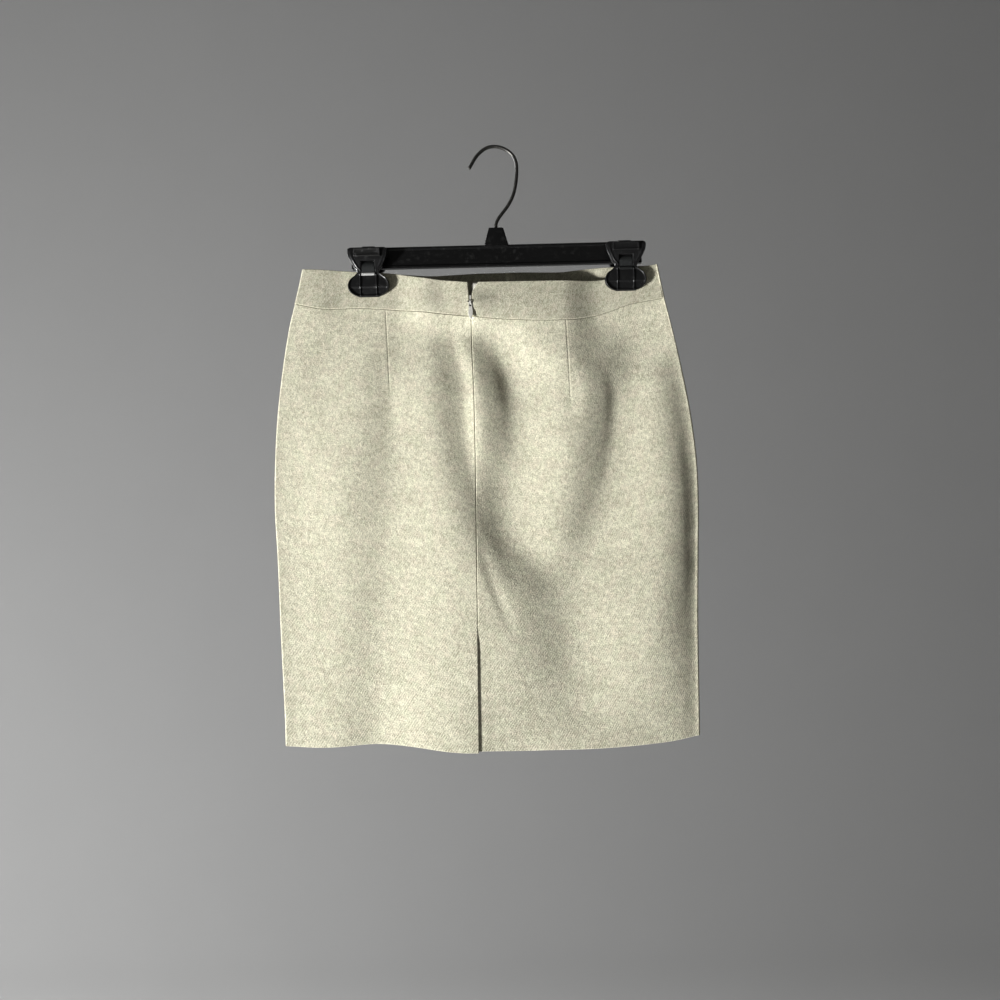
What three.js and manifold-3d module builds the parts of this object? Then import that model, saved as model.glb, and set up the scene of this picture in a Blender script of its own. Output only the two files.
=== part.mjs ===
// A straight wool skirt hung by its waistband from a clip hanger, seen from the skirt's back.
// Millimetres, +Z up. The origin is the inner top of the hanger's hook, on the line of its stem.
// +X is to the viewer's right and -Y is towards the viewer, who faces the skirt's back.
import * as THREE from "three";
import { mergeVertices } from "three/addons/utils/BufferGeometryUtils.js";
import Module from "manifold-3d";

const wasm = await Module();
wasm.setup();

// Cloth sizes
const PANEL_WALL = 2;
const BAND_WALL = 3;
const BAND_PROUD = 0.4;
const SEAM_GAP = 0.3;
const FOLD_RADIUS = 4.5;
const TAPE_WALL = 0.8;
const TAPE_WIDTH = 11;
const TAPE_DEPTH = 3.2;
const TAPE_LENGTH = 178;
const UNDERLAP_WIDTH = 38;
const VENT_TOP = -486;
const VENT_ROW = 20;
const PANEL_ROWS = 28;

// Hanger sizes
const BAR_LENGTH = 297;
const BAR_TOP = -100;
const BAR_BOTTOM = -121.6;
const BAR_WEB = 3;
const BAR_RIM = 5.4;
const RIM_HEIGHT = 2.2;
const BOSS_HEIGHT = 17.5;
const BOSS_BASE = 25;
const BOSS_CREST = 15;
const BOSS_DEPTH = 7;
const WIRE_RADIUS = 1.7;
const CLIP_X = [-131, 131];
const CLIP_DEPTH = 2.8;
const PAD_FACE = 3.5;

// Edges of the folded skirt at heights z, and how far each face swells from the side folds.
const SECTIONS = [
  { z: -110, left: -197.0, right: 162.0, side: 0.0, back: 7.5, front: 5.5 },
  { z: -135, left: -202.5, right: 166.5, side: 0.0, back: 8.0, front: 5.8 },
  { z: -156, left: -208.0, right: 170.5, side: 0.0, back: 8.5, front: 6.0 },
  { z: -181, left: -214.5, right: 176.5, side: 0.0, back: 9.5, front: 6.8 },
  { z: -223, left: -222.0, right: 185.5, side: -0.3, back: 13.0, front: 9.0 },
  { z: -273, left: -228.5, right: 194.3, side: -1.0, back: 16.5, front: 11.5 },
  { z: -322, left: -231.8, right: 199.5, side: -2.0, back: 18.0, front: 13.0 },
  { z: -366, left: -232.6, right: 200.4, side: -3.0, back: 18.0, front: 14.0 },
  { z: -420, left: -230.6, right: 198.6, side: -4.2, back: 17.5, front: 15.0 },
  { z: -487, left: -229.0, right: 196.3, side: -5.6, back: 17.0, front: 16.0 },
  { z: -573, left: -226.4, right: 195.0, side: -7.4, back: 16.5, front: 17.0 },
  { z: -615, left: -226.0, right: 194.5, side: -8.0, back: 16.5, front: 17.0 },
];

// Heights of the waistband's top edge, the waist seam and the hem across the back.
const BAND_TOP_BACK = [
  { x: -200, z: -120.6 },
  { x: -177, z: -121.8 },
  { x: -151, z: -123.9 },
  { x: -108, z: -126.9 },
  { x: -96, z: -129.1 },
  { x: -82, z: -132.1 },
  { x: -62, z: -135.8 },
  { x: -46, z: -138.1 },
  { x: -30, z: -140.0 },
  { x: -17, z: -140.2 },
  { x: 22, z: -140.3 },
  { x: 71, z: -140.0 },
  { x: 98, z: -139.4 },
  { x: 114, z: -137.4 },
  { x: 130, z: -131.6 },
  { x: 144, z: -126.8 },
  { x: 166, z: -123.8 },
];
const SEAM_BACK = [
  { x: -209, z: -156.0 },
  { x: -180, z: -161.6 },
  { x: -142, z: -161.6 },
  { x: -100, z: -165.0 },
  { x: -47, z: -172.2 },
  { x: 13, z: -178.5 },
  { x: 70, z: -179.8 },
  { x: 103, z: -174.2 },
  { x: 136, z: -164.2 },
  { x: 171, z: -158.8 },
];
const BAND_TOP_FRONT = [
  { x: -200, z: -120.6 },
  { x: -150, z: -123.9 },
  { x: -131, z: -124.7 },
  { x: -90, z: -127.6 },
  { x: -56, z: -130.3 },
  { x: -22, z: -131.5 },
  { x: 24, z: -131.3 },
  { x: 60, z: -129.6 },
  { x: 86, z: -126.6 },
  { x: 108, z: -125.0 },
  { x: 131, z: -124.4 },
  { x: 166, z: -123.8 },
];
const SEAM_FRONT = [
  { x: -209, z: -156.0 },
  { x: -131, z: -161.4 },
  { x: -17, z: -165.0 },
  { x: 100, z: -163.4 },
  { x: 171, z: -158.8 },
];
const HEM_BACK = [
  { x: -227, z: -604.8 },
  { x: -190, z: -606.6 },
  { x: -131, z: -604.4 },
  { x: -93, z: -606.6 },
  { x: -55, z: -611.0 },
  { x: -29, z: -612.4 },
  { x: 46, z: -612.0 },
  { x: 100, z: -611.4 },
  { x: 160, z: -608.4 },
  { x: 195, z: -603.8 },
];
const HEM_FRONT = [
  { x: -227, z: -604.8 },
  { x: -17, z: -607.0 },
  { x: 195, z: -603.8 },
];

// Folds. Each is a trough along a line of points, deep in the cloth at its middle, with its own
// reach to the left and right of the line. A negative depth is a ridge.
const BACK_FOLDS = [
  { name: "long trough right of the centre seam", depth: [12, 9.7, 7, 9.6, 9.6, 6.6, 6.1, 4],
    z: [-185, -225, -270, -330, -400, -462, -530, -590],
    x: [-20, 8, 23, 17, 14, 58, 70, 76], left: 35, right: 44 },
  { name: "swing from the right clip", depth: [11, 8, 6.7, 7.1, 7, 6.4],
    z: [-180, -230, -275, -330, -385, -430],
    x: [138, 139, 127, 114, 94, 80], left: 26, right: 40 },
  { name: "step left of the centre seam", depth: [2.8, 6.8, 7.6, 3, 0.4, 1.4],
    z: [-190, -235, -285, -345, -400, -440],
    x: [-52, -40, -38, -32, -14, 8], left: 23, right: 12 },
  { name: "hollow below the left dart", depth: [7.5, 5.6, 7, 5.9, 5.7, 5.4, 8],
    z: [-185, -240, -300, -380, -450, -530, -608],
    x: [-84, -106, -103, -111, -117, -124, -129], left: 32, right: 50 },
  { name: "swell above the right side's fall", depth: [-5, -2.8, 0.6, 2.2],
    z: [-430, -490, -560, -608],
    x: [180, 160, 154, 158], left: 34, right: 28 },
  { name: "swell between the troughs", depth: [5.5, -2.5, -2.5, -0.4, -0.2],
    z: [-190, -240, -300, -370, -420],
    x: [54, 84, 68, 52, 52], left: 38, right: 23 },
  { name: "low trough by the vent", depth: [1.3, 1.6, 4.6, 6],
    z: [-470, -520, -565, -608],
    x: [26, 28, 20, 14], left: 54, right: 48 },
  { name: "hollow on the left hip", depth: [3.2, 1.8, -1, -1.7],
    z: [-190, -250, -320, -390],
    x: [-171, -174, -167, -172], left: 29, right: 26 },
  { name: "swell on the right hip", depth: [-3.8, -2, -4, -5],
    z: [-230, -290, -350, -410],
    x: [160, 170, 182, 180], left: 28, right: 18 },
  { name: "swell along the zip", depth: [-4.4, -1.2, -2.8, 0.8],
    z: [-190, -240, -300, -350],
    x: [-20, -10, -14, -8], left: 9, right: 21 },
];
const FRONT_FOLDS = [
  { name: "hollow under the left clip", depth: [2, 6, 6, 4, 6],
    z: [-180, -260, -360, -470, -608],
    x: [-120, -104, -98, -108, -116], left: 34, right: 42 },
  { name: "hollow under the right clip", depth: [2, 6, 7, 5, 5],
    z: [-180, -250, -340, -470, -608],
    x: [118, 96, 84, 92, 104], left: 40, right: 32 },
  { name: "middle swell", depth: [0, -3, -4, -3, -2],
    z: [-190, -270, -370, -480, -608],
    x: [-12, -8, -14, -10, -4], left: 46, right: 44 },
];

// The line of the centre back seam, and how far the edges of the two back waistband pieces
// stand from it above the slider.
const CENTRE_SEAM = [
  { z: -110, x: -27.4 },
  { z: -175, x: -27.6 },
  { z: -260, x: -26.4 },
  { z: -360, x: -26.6 },
  { z: -486, x: -27.8 },
  { z: -615, x: -29.4 },
];
const ZIP_GAP = [
  { z: -140, left: 2.4, right: 8.6 },
  { z: -145, left: 2.1, right: 5.4 },
  { z: -150, left: 1.7, right: 2.4 },
  { z: -155, left: 1.45, right: 1.6 },
  { z: -164, left: 1.3, right: 1.4 },
  { z: -169, left: 0.6, right: 0.7 },
  { z: -175, left: 0.15, right: 0.15 },
  { z: -182, left: 0.15, right: 0.15 },
];

// Wire line of the hook, from its tip round the loop to the foot inside the boss.
const HOOK_LINE = [
  [-25.6, -19.6], [-23.2, -15.6], [-19.6, -9.8], [-15.4, -5.0], [-10.6, -1.2],
  [-5.4, 1.1], [0.0, 1.7], [5.6, 0.9], [11.0, -1.2], [16.0, -4.6],
  [20.2, -9.4], [22.4, -15.6], [22.9, -22.6], [22.4, -30.4], [21.2, -38.6],
  [19.2, -46.6], [16.0, -54.2], [11.6, -61.2], [6.8, -67.2], [2.6, -72.8],
  [0.4, -77.6], [0.0, -82.4], [0.0, -91.0],
];

// Colours, each as the photograph shows it
const WOOL = new THREE.MeshStandardMaterial({ color: 0xc9c3b2, roughness: 0.95, metalness: 0 });
const WOOL_INSIDE = new THREE.MeshStandardMaterial({ color: 0xd6d0c0, roughness: 0.95, metalness: 0 });
const TAPE = new THREE.MeshStandardMaterial({ color: 0xc4beae, roughness: 0.8, metalness: 0 });
const ZIP_METAL = new THREE.MeshStandardMaterial({ color: 0x4c4a46, roughness: 0.45, metalness: 0.6 });
const PULL_PAINT = new THREE.MeshStandardMaterial({ color: 0xb9b5aa, roughness: 0.4, metalness: 0.1 });
const PLASTIC = new THREE.MeshStandardMaterial({ color: 0x121212, roughness: 0.35, metalness: 0 });
const STEEL = new THREE.MeshStandardMaterial({ color: 0x50504e, roughness: 0.4, metalness: 0.8 });

const mix = (a, b, t) => a + (b - a) * t;
const clamp = (v, low, high) => Math.min(high, Math.max(low, v));
function ease(t) {
  const c = clamp(t, 0, 1);
  return c * c * (3 - 2 * c);
}

// A smooth line through the rows of a table, held level past its ends.
function smoothLine(keys, values) {
  const rising = keys[0] < keys[keys.length - 1];
  const ks = rising ? keys : [...keys].reverse();
  const vs = rising ? values : [...values].reverse();
  const count = ks.length;
  const slope = ks.map((k, i) => {
    const a = Math.max(0, i - 1);
    const b = Math.min(count - 1, i + 1);
    return (vs[b] - vs[a]) / (ks[b] - ks[a]);
  });
  return (k) => {
    if (k <= ks[0]) return vs[0];
    if (k >= ks[count - 1]) return vs[count - 1];
    let i = 0;
    while (k > ks[i + 1]) i += 1;
    const span = ks[i + 1] - ks[i];
    const t = (k - ks[i]) / span;
    const t2 = t * t;
    const t3 = t2 * t;
    return (
      (2 * t3 - 3 * t2 + 1) * vs[i] +
      (t3 - 2 * t2 + t) * span * slope[i] +
      (3 * t2 - 2 * t3) * vs[i + 1] +
      (t3 - t2) * span * slope[i + 1]
    );
  };
}
const column = (rows, key, value) =>
  smoothLine(rows.map((row) => row[key]), rows.map((row) => row[value]));

const sideLeft = column(SECTIONS, "z", "left");
const sideRight = column(SECTIONS, "z", "right");
const sideY = column(SECTIONS, "z", "side");
const swellBack = column(SECTIONS, "z", "back");
const swellFront = column(SECTIONS, "z", "front");
const bandTopBack = column(BAND_TOP_BACK, "x", "z");
const bandTopFront = column(BAND_TOP_FRONT, "x", "z");
const seamBack = column(SEAM_BACK, "x", "z");
const seamFront = column(SEAM_FRONT, "x", "z");
const hemBack = column(HEM_BACK, "x", "z");
const hemFront = column(HEM_FRONT, "x", "z");
const centreSeam = column(CENTRE_SEAM, "z", "x");
const gapLeft = column(ZIP_GAP, "z", "left");
const gapRight = column(ZIP_GAP, "z", "right");

const foldLines = (folds) =>
  folds.map((fold) => ({
    line: smoothLine(fold.z, fold.x),
    depth: smoothLine(fold.z, fold.depth),
    top: fold.z[0],
    bottom: fold.z[fold.z.length - 1],
    left: fold.left,
    right: fold.right,
  }));
const backFolds = foldLines(BACK_FOLDS);
const frontFolds = foldLines(FRONT_FOLDS);

// How far all the folds press the cloth in at (x, z). A fold that ends above the hem fades out.
function foldDepth(folds, x, z) {
  let sum = 0;
  for (const fold of folds) {
    const away = x - fold.line(z);
    const reach = away < 0 ? fold.left : fold.right;
    const start = ease((fold.top + 28 - z) / 40);
    const end = fold.bottom < -600 ? 1 : ease((z - fold.bottom + 40) / 60);
    sum += fold.depth(z) * start * end * Math.exp(-((away / reach) ** 2));
  }
  return sum;
}

// Share of a clip's grip at (x, z): whole under the pads, fading out below and beside them.
function grip(x, z) {
  let most = 0;
  for (const centre of CLIP_X) {
    const beside = 1 - ease((Math.abs(x - centre) - 24) / 42);
    const below = 1 - ease((-158 - z) / 95);
    most = Math.max(most, beside * below);
  }
  return most;
}

// The vent: the left half lifts a little and the right half sinks under it, starting above it.
function lapShift(half, x, z) {
  if (!half) return 0;
  const down = ease((VENT_TOP + 46 - z) / 44);
  const away = Math.abs(x - centreSeam(z));
  if (half === "left") return -0.9 * down * (1 - ease(away / 34));
  if (x < centreSeam(z)) return down * (2 + 0.036 * away);
  return 2 * down * (1 - ease((away - 1) / 40));
}

// Depth of the cloth's outer side, away from the turned side folds. face is -1 on the back.
function clothY(face, x, z, half) {
  const left = sideLeft(z) + FOLD_RADIUS;
  const right = sideRight(z) - FOLD_RADIUS;
  const across = clamp((2 * x - left - right) / (right - left), -1, 1);
  const dome = (1 - across * across) ** 1.5;
  const inside = 1 - Math.abs(across) ** 8;
  const swell = face < 0 ? swellBack(z) : swellFront(z);
  const folds = foldDepth(face < 0 ? backFolds : frontFolds, x, z) * inside;
  const free = FOLD_RADIUS + swell * dome - folds;
  const held = mix(free, CLIP_DEPTH, grip(x, z));
  return sideY(z) + face * held + lapShift(half, x, z);
}

// A band of cloth is measured by a, from 0 at its left edge to 1 at its right edge. Where an
// edge is a side seam, the last of the width turns round the side fold.
const TURN = 0.08;
const TURN_START = Math.asin((SEAM_GAP * 0.7) / FOLD_RADIUS);

function clothAt(cut, a, z) {
  const turned = (t) => TURN_START + (Math.PI / 2 - TURN_START) * t;
  let from = 0;
  let to = 1;
  if (cut.leftSide) {
    from = TURN;
    if (a < TURN) {
      const angle = turned(a / TURN);
      return new THREE.Vector3(
        sideLeft(z) + FOLD_RADIUS * (1 - Math.cos(angle)),
        sideY(z) + cut.face * FOLD_RADIUS * Math.sin(angle),
        z,
      );
    }
  }
  if (cut.rightSide) {
    to = 1 - TURN;
    if (a > to) {
      const angle = turned((1 - a) / TURN);
      return new THREE.Vector3(
        sideRight(z) - FOLD_RADIUS * (1 - Math.cos(angle)),
        sideY(z) + cut.face * FOLD_RADIUS * Math.sin(angle),
        z,
      );
    }
  }
  const x0 = cut.leftSide ? sideLeft(z) + FOLD_RADIUS : cut.leftEdge(z);
  const x1 = cut.rightSide ? sideRight(z) - FOLD_RADIUS : cut.rightEdge(z);
  const x = mix(x0, x1, (a - from) / (to - from));
  return new THREE.Vector3(x, clothY(cut.face, x, z, cut.half), z);
}

// Height at (a, b), with b from 0 at the upper edge to 1 at the lower edge.
function heightAt(cut, a, b) {
  const upper = cut.upper(clothAt(cut, a, cut.upperNear).x);
  const lower = cut.lower(clothAt(cut, a, cut.lowerNear).x);
  return mix(upper, lower, b);
}
const surfaceAt = (cut, a, b) => clothAt(cut, a, heightAt(cut, a, b));

function outward(cut, a, b) {
  const step = 1e-4;
  const a0 = Math.max(cut.from ?? 0, a - step);
  const a1 = Math.min(1, a + step);
  const across = surfaceAt(cut, a1, b).sub(surfaceAt(cut, a0, b));
  const down = surfaceAt(cut, a, b + step).sub(surfaceAt(cut, a, b - step));
  return across.cross(down).normalize().multiplyScalar(cut.face);
}

// One closed wall of cloth. outer and inner are its distances out from the surface, and
// cells(i, j) says which cells of the grid are cloth.
function clothWall(cut, columns, rows, outer, inner, cells = () => true) {
  const layers = [outer, inner].map((distance) =>
    columns.map((a) =>
      rows.map((b) => surfaceAt(cut, a, b).addScaledVector(outward(cut, a, b), distance)),
    ),
  );
  const nx = columns.length;
  const ny = rows.length;
  const positions = layers.flat(2).flatMap((p) => [p.x, p.y, p.z]);
  const at = (layer, i, j) => (layer * nx + i) * ny + j;
  const has = (i, j) => i >= 0 && j >= 0 && i < nx - 1 && j < ny - 1 && cells(i, j);
  const faces = [];
  const quad = (p, q, r, s) => faces.push(p, q, r, p, r, s);
  for (let i = 0; i < nx - 1; i += 1) {
    for (let j = 0; j < ny - 1; j += 1) {
      if (!has(i, j)) continue;
      quad(at(0, i, j), at(0, i, j + 1), at(0, i + 1, j + 1), at(0, i + 1, j));
      quad(at(1, i, j), at(1, i + 1, j), at(1, i + 1, j + 1), at(1, i, j + 1));
      if (!has(i - 1, j)) quad(at(0, i, j + 1), at(0, i, j), at(1, i, j), at(1, i, j + 1));
      if (!has(i + 1, j)) quad(at(0, i + 1, j), at(0, i + 1, j + 1), at(1, i + 1, j + 1), at(1, i + 1, j));
      if (!has(i, j - 1)) quad(at(0, i, j), at(0, i + 1, j), at(1, i + 1, j), at(1, i, j));
      if (!has(i, j + 1)) quad(at(0, i + 1, j + 1), at(0, i, j + 1), at(1, i, j + 1), at(1, i + 1, j + 1));
    }
  }
  return closedGeometry(positions, faces);
}

// Geometry from positions and triangles, its unused points dropped and its faces turned out.
function closedGeometry(positions, faces) {
  const corner = (k) => new THREE.Vector3().fromArray(positions, faces[k] * 3);
  let volume = 0;
  for (let k = 0; k < faces.length; k += 3) {
    volume += corner(k).dot(corner(k + 1).cross(corner(k + 2)));
  }
  if (volume < 0) faces.reverse();
  const used = new Float32Array(faces.length * 3);
  faces.forEach((vertex, k) => used.set(positions.slice(vertex * 3, vertex * 3 + 3), k * 3));
  const geometry = new THREE.BufferGeometry();
  geometry.setAttribute("position", new THREE.BufferAttribute(used, 3));
  const merged = mergeVertices(geometry, 1e-4);
  merged.computeVertexNormals();
  return merged;
}

// Even steps from start to end, both ends included.
const steps = (start, end, count) =>
  Array.from({ length: count + 1 }, (_, i) => mix(start, end, i / count));

function columnsOf(cut, count) {
  const turn = [0, 0.3, 0.62];
  const first = cut.leftSide ? turn.map((t) => t * TURN) : [];
  const last = cut.rightSide ? turn.map((t) => 1 - t * TURN).reverse() : [];
  const from = cut.leftSide ? TURN : 0;
  const to = cut.rightSide ? 1 - TURN : 1;
  return [...first, ...steps(from, to, count), ...last];
}

// The skirt's cuts
const half = SEAM_GAP / 2;
const seamEdge = (side) => (z) => centreSeam(z) + side * half;
const below = (line) => (x) => line(x) - half;
const above = (line) => (x) => line(x) + half;
const panelSpan = { upperNear: -165, lowerNear: -606 };
const bandSpan = { upperNear: -128, lowerNear: -165 };

const frontPanel = {
  face: 1, leftSide: true, rightSide: true,
  upper: below(seamFront), lower: hemFront, ...panelSpan,
};
const backLeftPanel = {
  face: -1, leftSide: true, rightEdge: seamEdge(-1), half: "left",
  upper: below(seamBack), lower: hemBack, ...panelSpan,
};
const backRightPanel = {
  face: -1, rightSide: true, leftEdge: seamEdge(1), half: "right",
  upper: below(seamBack), lower: (x) => hemBack(x) + 1.2 * (1 - ease((x + 29) / 60)), ...panelSpan,
};
const frontBand = {
  face: 1, leftSide: true, rightSide: true,
  upper: bandTopFront, lower: above(seamFront), ...bandSpan,
};
const backLeftBand = {
  face: -1, leftSide: true, rightEdge: (z) => centreSeam(z) - gapLeft(z),
  upper: bandTopBack, lower: above(seamBack), ...bandSpan,
};
const backRightBand = {
  face: -1, rightSide: true, leftEdge: (z) => centreSeam(z) + gapRight(z),
  upper: bandTopBack, lower: above(seamBack), ...bandSpan,
};

const panelRows = [
  ...steps(0, 0.708, VENT_ROW),
  ...steps(0.708, 1, PANEL_ROWS - VENT_ROW).slice(1),
];
const panelWall = (cut, count, rows = panelRows) =>
  clothWall(cut, columnsOf(cut, count), rows, 0, -PANEL_WALL);
const bandWall = (cut, count) =>
  clothWall(cut, columnsOf(cut, count), steps(0, 1, 3), BAND_PROUD, BAND_PROUD - BAND_WALL);

// The right back panel carries the underlap, which reaches left of the seam below the vent's top.
function rightPanelWithUnderlap() {
  const width = sideRight(-550) - centreSeam(-550);
  const lap = -UNDERLAP_WIDTH / width;
  const columns = [lap, lap * 0.66, lap * 0.33, ...columnsOf(backRightPanel, 20)];
  const cut = { ...backRightPanel, from: lap };
  return clothWall(cut, columns, panelRows, 0, -PANEL_WALL, (i, j) => i > 2 || j >= VENT_ROW);
}

// Zip tapes lie behind the back pieces, from the waistband's top edge down past the seam.
function tapeCut(side) {
  const inner = (z) => centreSeam(z) + side * (side < 0 ? gapLeft(z) : gapRight(z)) + side * 0.25;
  const outer = (z) => inner(z) + side * TAPE_WIDTH;
  return {
    face: -1,
    leftEdge: side < 0 ? outer : inner,
    rightEdge: side < 0 ? inner : outer,
    upper: () => -143,
    lower: () => -143 - TAPE_LENGTH,
    upperNear: -150,
    lowerNear: -300,
  };
}
const tapeWall = (side) =>
  clothWall(tapeCut(side), [0, 0.5, 1], steps(0, 1, 14), -TAPE_DEPTH, -TAPE_DEPTH - TAPE_WALL);

// A solid made of rings of the same number of points, closed by a fan at each end.
function loft(rings) {
  const size = rings[0].length;
  const middle = (ring) =>
    ring.reduce((sum, p) => sum.add(p), new THREE.Vector3()).divideScalar(size);
  const points = [...rings.flat(), middle(rings[0]), middle(rings[rings.length - 1])];
  const first = rings.length * size;
  const faces = [];
  for (let k = 0; k < size; k += 1) {
    const next = (k + 1) % size;
    for (let r = 0; r < rings.length - 1; r += 1) {
      const p = r * size;
      faces.push(p + k, p + next, p + size + next, p + k, p + size + next, p + size + k);
    }
    const last = first - size;
    faces.push(first, next, k, first + 1, last + k, last + next);
  }
  return closedGeometry(points.flatMap((p) => [p.x, p.y, p.z]), faces);
}

// A rounded oblong ring in a plane of constant z.
function slab(x, y, z, width, depth, corner) {
  const points = [];
  for (const [sx, sy, turn] of [[1, 1, 0], [-1, 1, 1], [-1, -1, 2], [1, -1, 3]]) {
    for (const t of [0, 1]) {
      const angle = ((turn + t) * Math.PI) / 2;
      points.push(new THREE.Vector3(
        x + sx * (width / 2 - corner) + corner * Math.cos(angle),
        y + sy * (depth / 2 - corner) + corner * Math.sin(angle),
        z,
      ));
    }
  }
  return points;
}

const solidOf = (geometry) => {
  const loose = geometry.index ? geometry.toNonIndexed() : geometry;
  const bare = mergeVertices(
    new THREE.BufferGeometry().setAttribute("position", loose.getAttribute("position")), 1e-4);
  return new wasm.Manifold(new wasm.Mesh({
    numProp: 3,
    vertProperties: bare.getAttribute("position").array,
    triVerts: new Uint32Array(bare.index.array),
  }));
};
function geometryOf(solid) {
  const mesh = solid.getMesh();
  const geometry = new THREE.BufferGeometry();
  geometry.setAttribute("position", new THREE.BufferAttribute(new Float32Array(mesh.vertProperties), 3));
  geometry.setIndex(new THREE.BufferAttribute(new Uint32Array(mesh.triVerts), 1));
  geometry.computeVertexNormals();
  return geometry;
}
function oblong(x, y, z, width, depth, height) {
  return new THREE.BoxGeometry(width, depth, height).translate(x, y, z);
}

// The bar: a web between two rims, the tapered boss on top, and the bore for the hook's foot.
function hangerBar() {
  const rim = BAR_RIM / 2;
  const web = BAR_WEB / 2;
  const outline = new THREE.Shape();
  outline.moveTo(-rim, BAR_BOTTOM);
  outline.lineTo(rim, BAR_BOTTOM);
  outline.lineTo(rim, BAR_BOTTOM + RIM_HEIGHT);
  outline.lineTo(web, BAR_BOTTOM + RIM_HEIGHT + 0.8);
  outline.lineTo(web, BAR_TOP - RIM_HEIGHT - 0.8);
  outline.lineTo(rim, BAR_TOP - RIM_HEIGHT);
  outline.lineTo(rim, BAR_TOP);
  outline.lineTo(-rim, BAR_TOP);
  outline.lineTo(-rim, BAR_TOP - RIM_HEIGHT);
  outline.lineTo(-web, BAR_TOP - RIM_HEIGHT - 0.8);
  outline.lineTo(-web, BAR_BOTTOM + RIM_HEIGHT + 0.8);
  outline.lineTo(-rim, BAR_BOTTOM + RIM_HEIGHT);
  const bar = new THREE.ExtrudeGeometry(outline, { depth: BAR_LENGTH, bevelEnabled: false, steps: 1 });
  bar.rotateX(Math.PI / 2).rotateZ(Math.PI / 2).translate(-BAR_LENGTH / 2, 0, 0);
  const boss = loft([
    slab(0, 0, BAR_TOP - 1.5, BOSS_BASE, BOSS_DEPTH, 1),
    slab(0, 0, BAR_TOP, BOSS_BASE, BOSS_DEPTH, 1),
    slab(0, 0, BAR_TOP + BOSS_HEIGHT, BOSS_CREST, BOSS_DEPTH - 0.6, 1),
  ]);
  const bore = new THREE.CylinderGeometry(WIRE_RADIUS + 0.3, WIRE_RADIUS + 0.3, 14, 12);
  bore.rotateX(Math.PI / 2).translate(0, 0, BAR_TOP + BOSS_HEIGHT - 3);
  return geometryOf(solidOf(bar).add(solidOf(boss)).subtract(solidOf(bore)));
}

// The hook's wire, with a rounded tip.
function hook() {
  const line = new THREE.CatmullRomCurve3(
    HOOK_LINE.map(([x, z]) => new THREE.Vector3(x, 0, z)), false, "centripetal");
  const count = 40;
  const rings = [];
  const ring = (centre, along, radius) => {
    const side = new THREE.Vector3(0, 1, 0);
    const up = new THREE.Vector3().crossVectors(along, side).normalize();
    return steps(0, 7, 7).map((k) => centre.clone()
      .addScaledVector(side, radius * Math.cos((k * Math.PI) / 4))
      .addScaledVector(up, radius * Math.sin((k * Math.PI) / 4)));
  };
  const start = line.getPointAt(0);
  const startAlong = line.getTangentAt(0);
  rings.push(ring(start.clone().addScaledVector(startAlong, -1.5), startAlong, WIRE_RADIUS * 0.5));
  rings.push(ring(start.clone().addScaledVector(startAlong, -0.9), startAlong, WIRE_RADIUS * 0.85));
  for (let k = 0; k <= count; k += 1) {
    rings.push(ring(line.getPointAt(k / count), line.getTangentAt(k / count), WIRE_RADIUS));
  }
  return loft(rings);
}

// One clip jaw, front (-1) or rear (1). Each row is a level of the lever from the housing's ears
// down to the pad's lower edge: distance of its inner face from the bar's plane, thickness, width.
const JAW_LEVELS = [
  { z: -102.2, near: 9.1, thick: 2.6, wide: 35.0, corner: 1.0 },
  { z: -104.0, near: 8.9, thick: 3.4, wide: 39.6, corner: 1.2 },
  { z: -110.3, near: 8.4, thick: 3.8, wide: 39.2, corner: 1.2 },
  { z: -114.5, near: 7.9, thick: 3.6, wide: 35.8, corner: 1.2 },
  { z: -118.0, near: 6.6, thick: 3.8, wide: 32.2, corner: 1.2 },
  { z: -121.5, near: 5.2, thick: 4.2, wide: 28.0, corner: 1.2 },
  { z: -124.8, near: 4.3, thick: 4.4, wide: 21.6, corner: 1.2 },
  { z: -128.5, near: PAD_FACE, thick: 4.6, wide: 26.0, corner: 1.2 },
  { z: -132.2, near: PAD_FACE, thick: 4.6, wide: 36.0, corner: 1.2 },
  { z: -135.7, near: PAD_FACE, thick: 4.8, wide: 40.6, corner: 1.2 },
  { z: -140.3, near: PAD_FACE, thick: 4.8, wide: 42.4, corner: 1.2 },
  { z: -144.9, near: PAD_FACE, thick: 4.2, wide: 39.6, corner: 1.2 },
  { z: -148.5, near: PAD_FACE, thick: 3.4, wide: 31.0, corner: 1.0 },
  { z: -151.0, near: PAD_FACE, thick: 2.6, wide: 19.0, corner: 0.8 },
];
const THUMB_LEVELS = [
  { z: -103.4, near: 11.8, thick: 3.0, wide: 26.0, corner: 0.8 },
  { z: -105.0, near: 11.7, thick: 3.2, wide: 27.0, corner: 0.8 },
  { z: -111.9, near: 10.8, thick: 3.0, wide: 27.2, corner: 0.8 },
];
const WINDOW = { top: -115.4, bottom: -128.1, width: 14.2 };
function jaw(centre, face) {
  const [lever, thumb] = [JAW_LEVELS, THUMB_LEVELS].map((levels) => loft(levels.map((row) =>
    slab(centre, face * (row.near + row.thick / 2), row.z, row.wide, row.thick, row.corner))));
  const height = WINDOW.top - WINDOW.bottom;
  const window = oblong(
    centre, face * 9, (WINDOW.top + WINDOW.bottom) / 2, WINDOW.width, 18, height);
  return geometryOf(solidOf(lever).add(solidOf(thumb)).subtract(solidOf(window)));
}

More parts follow.
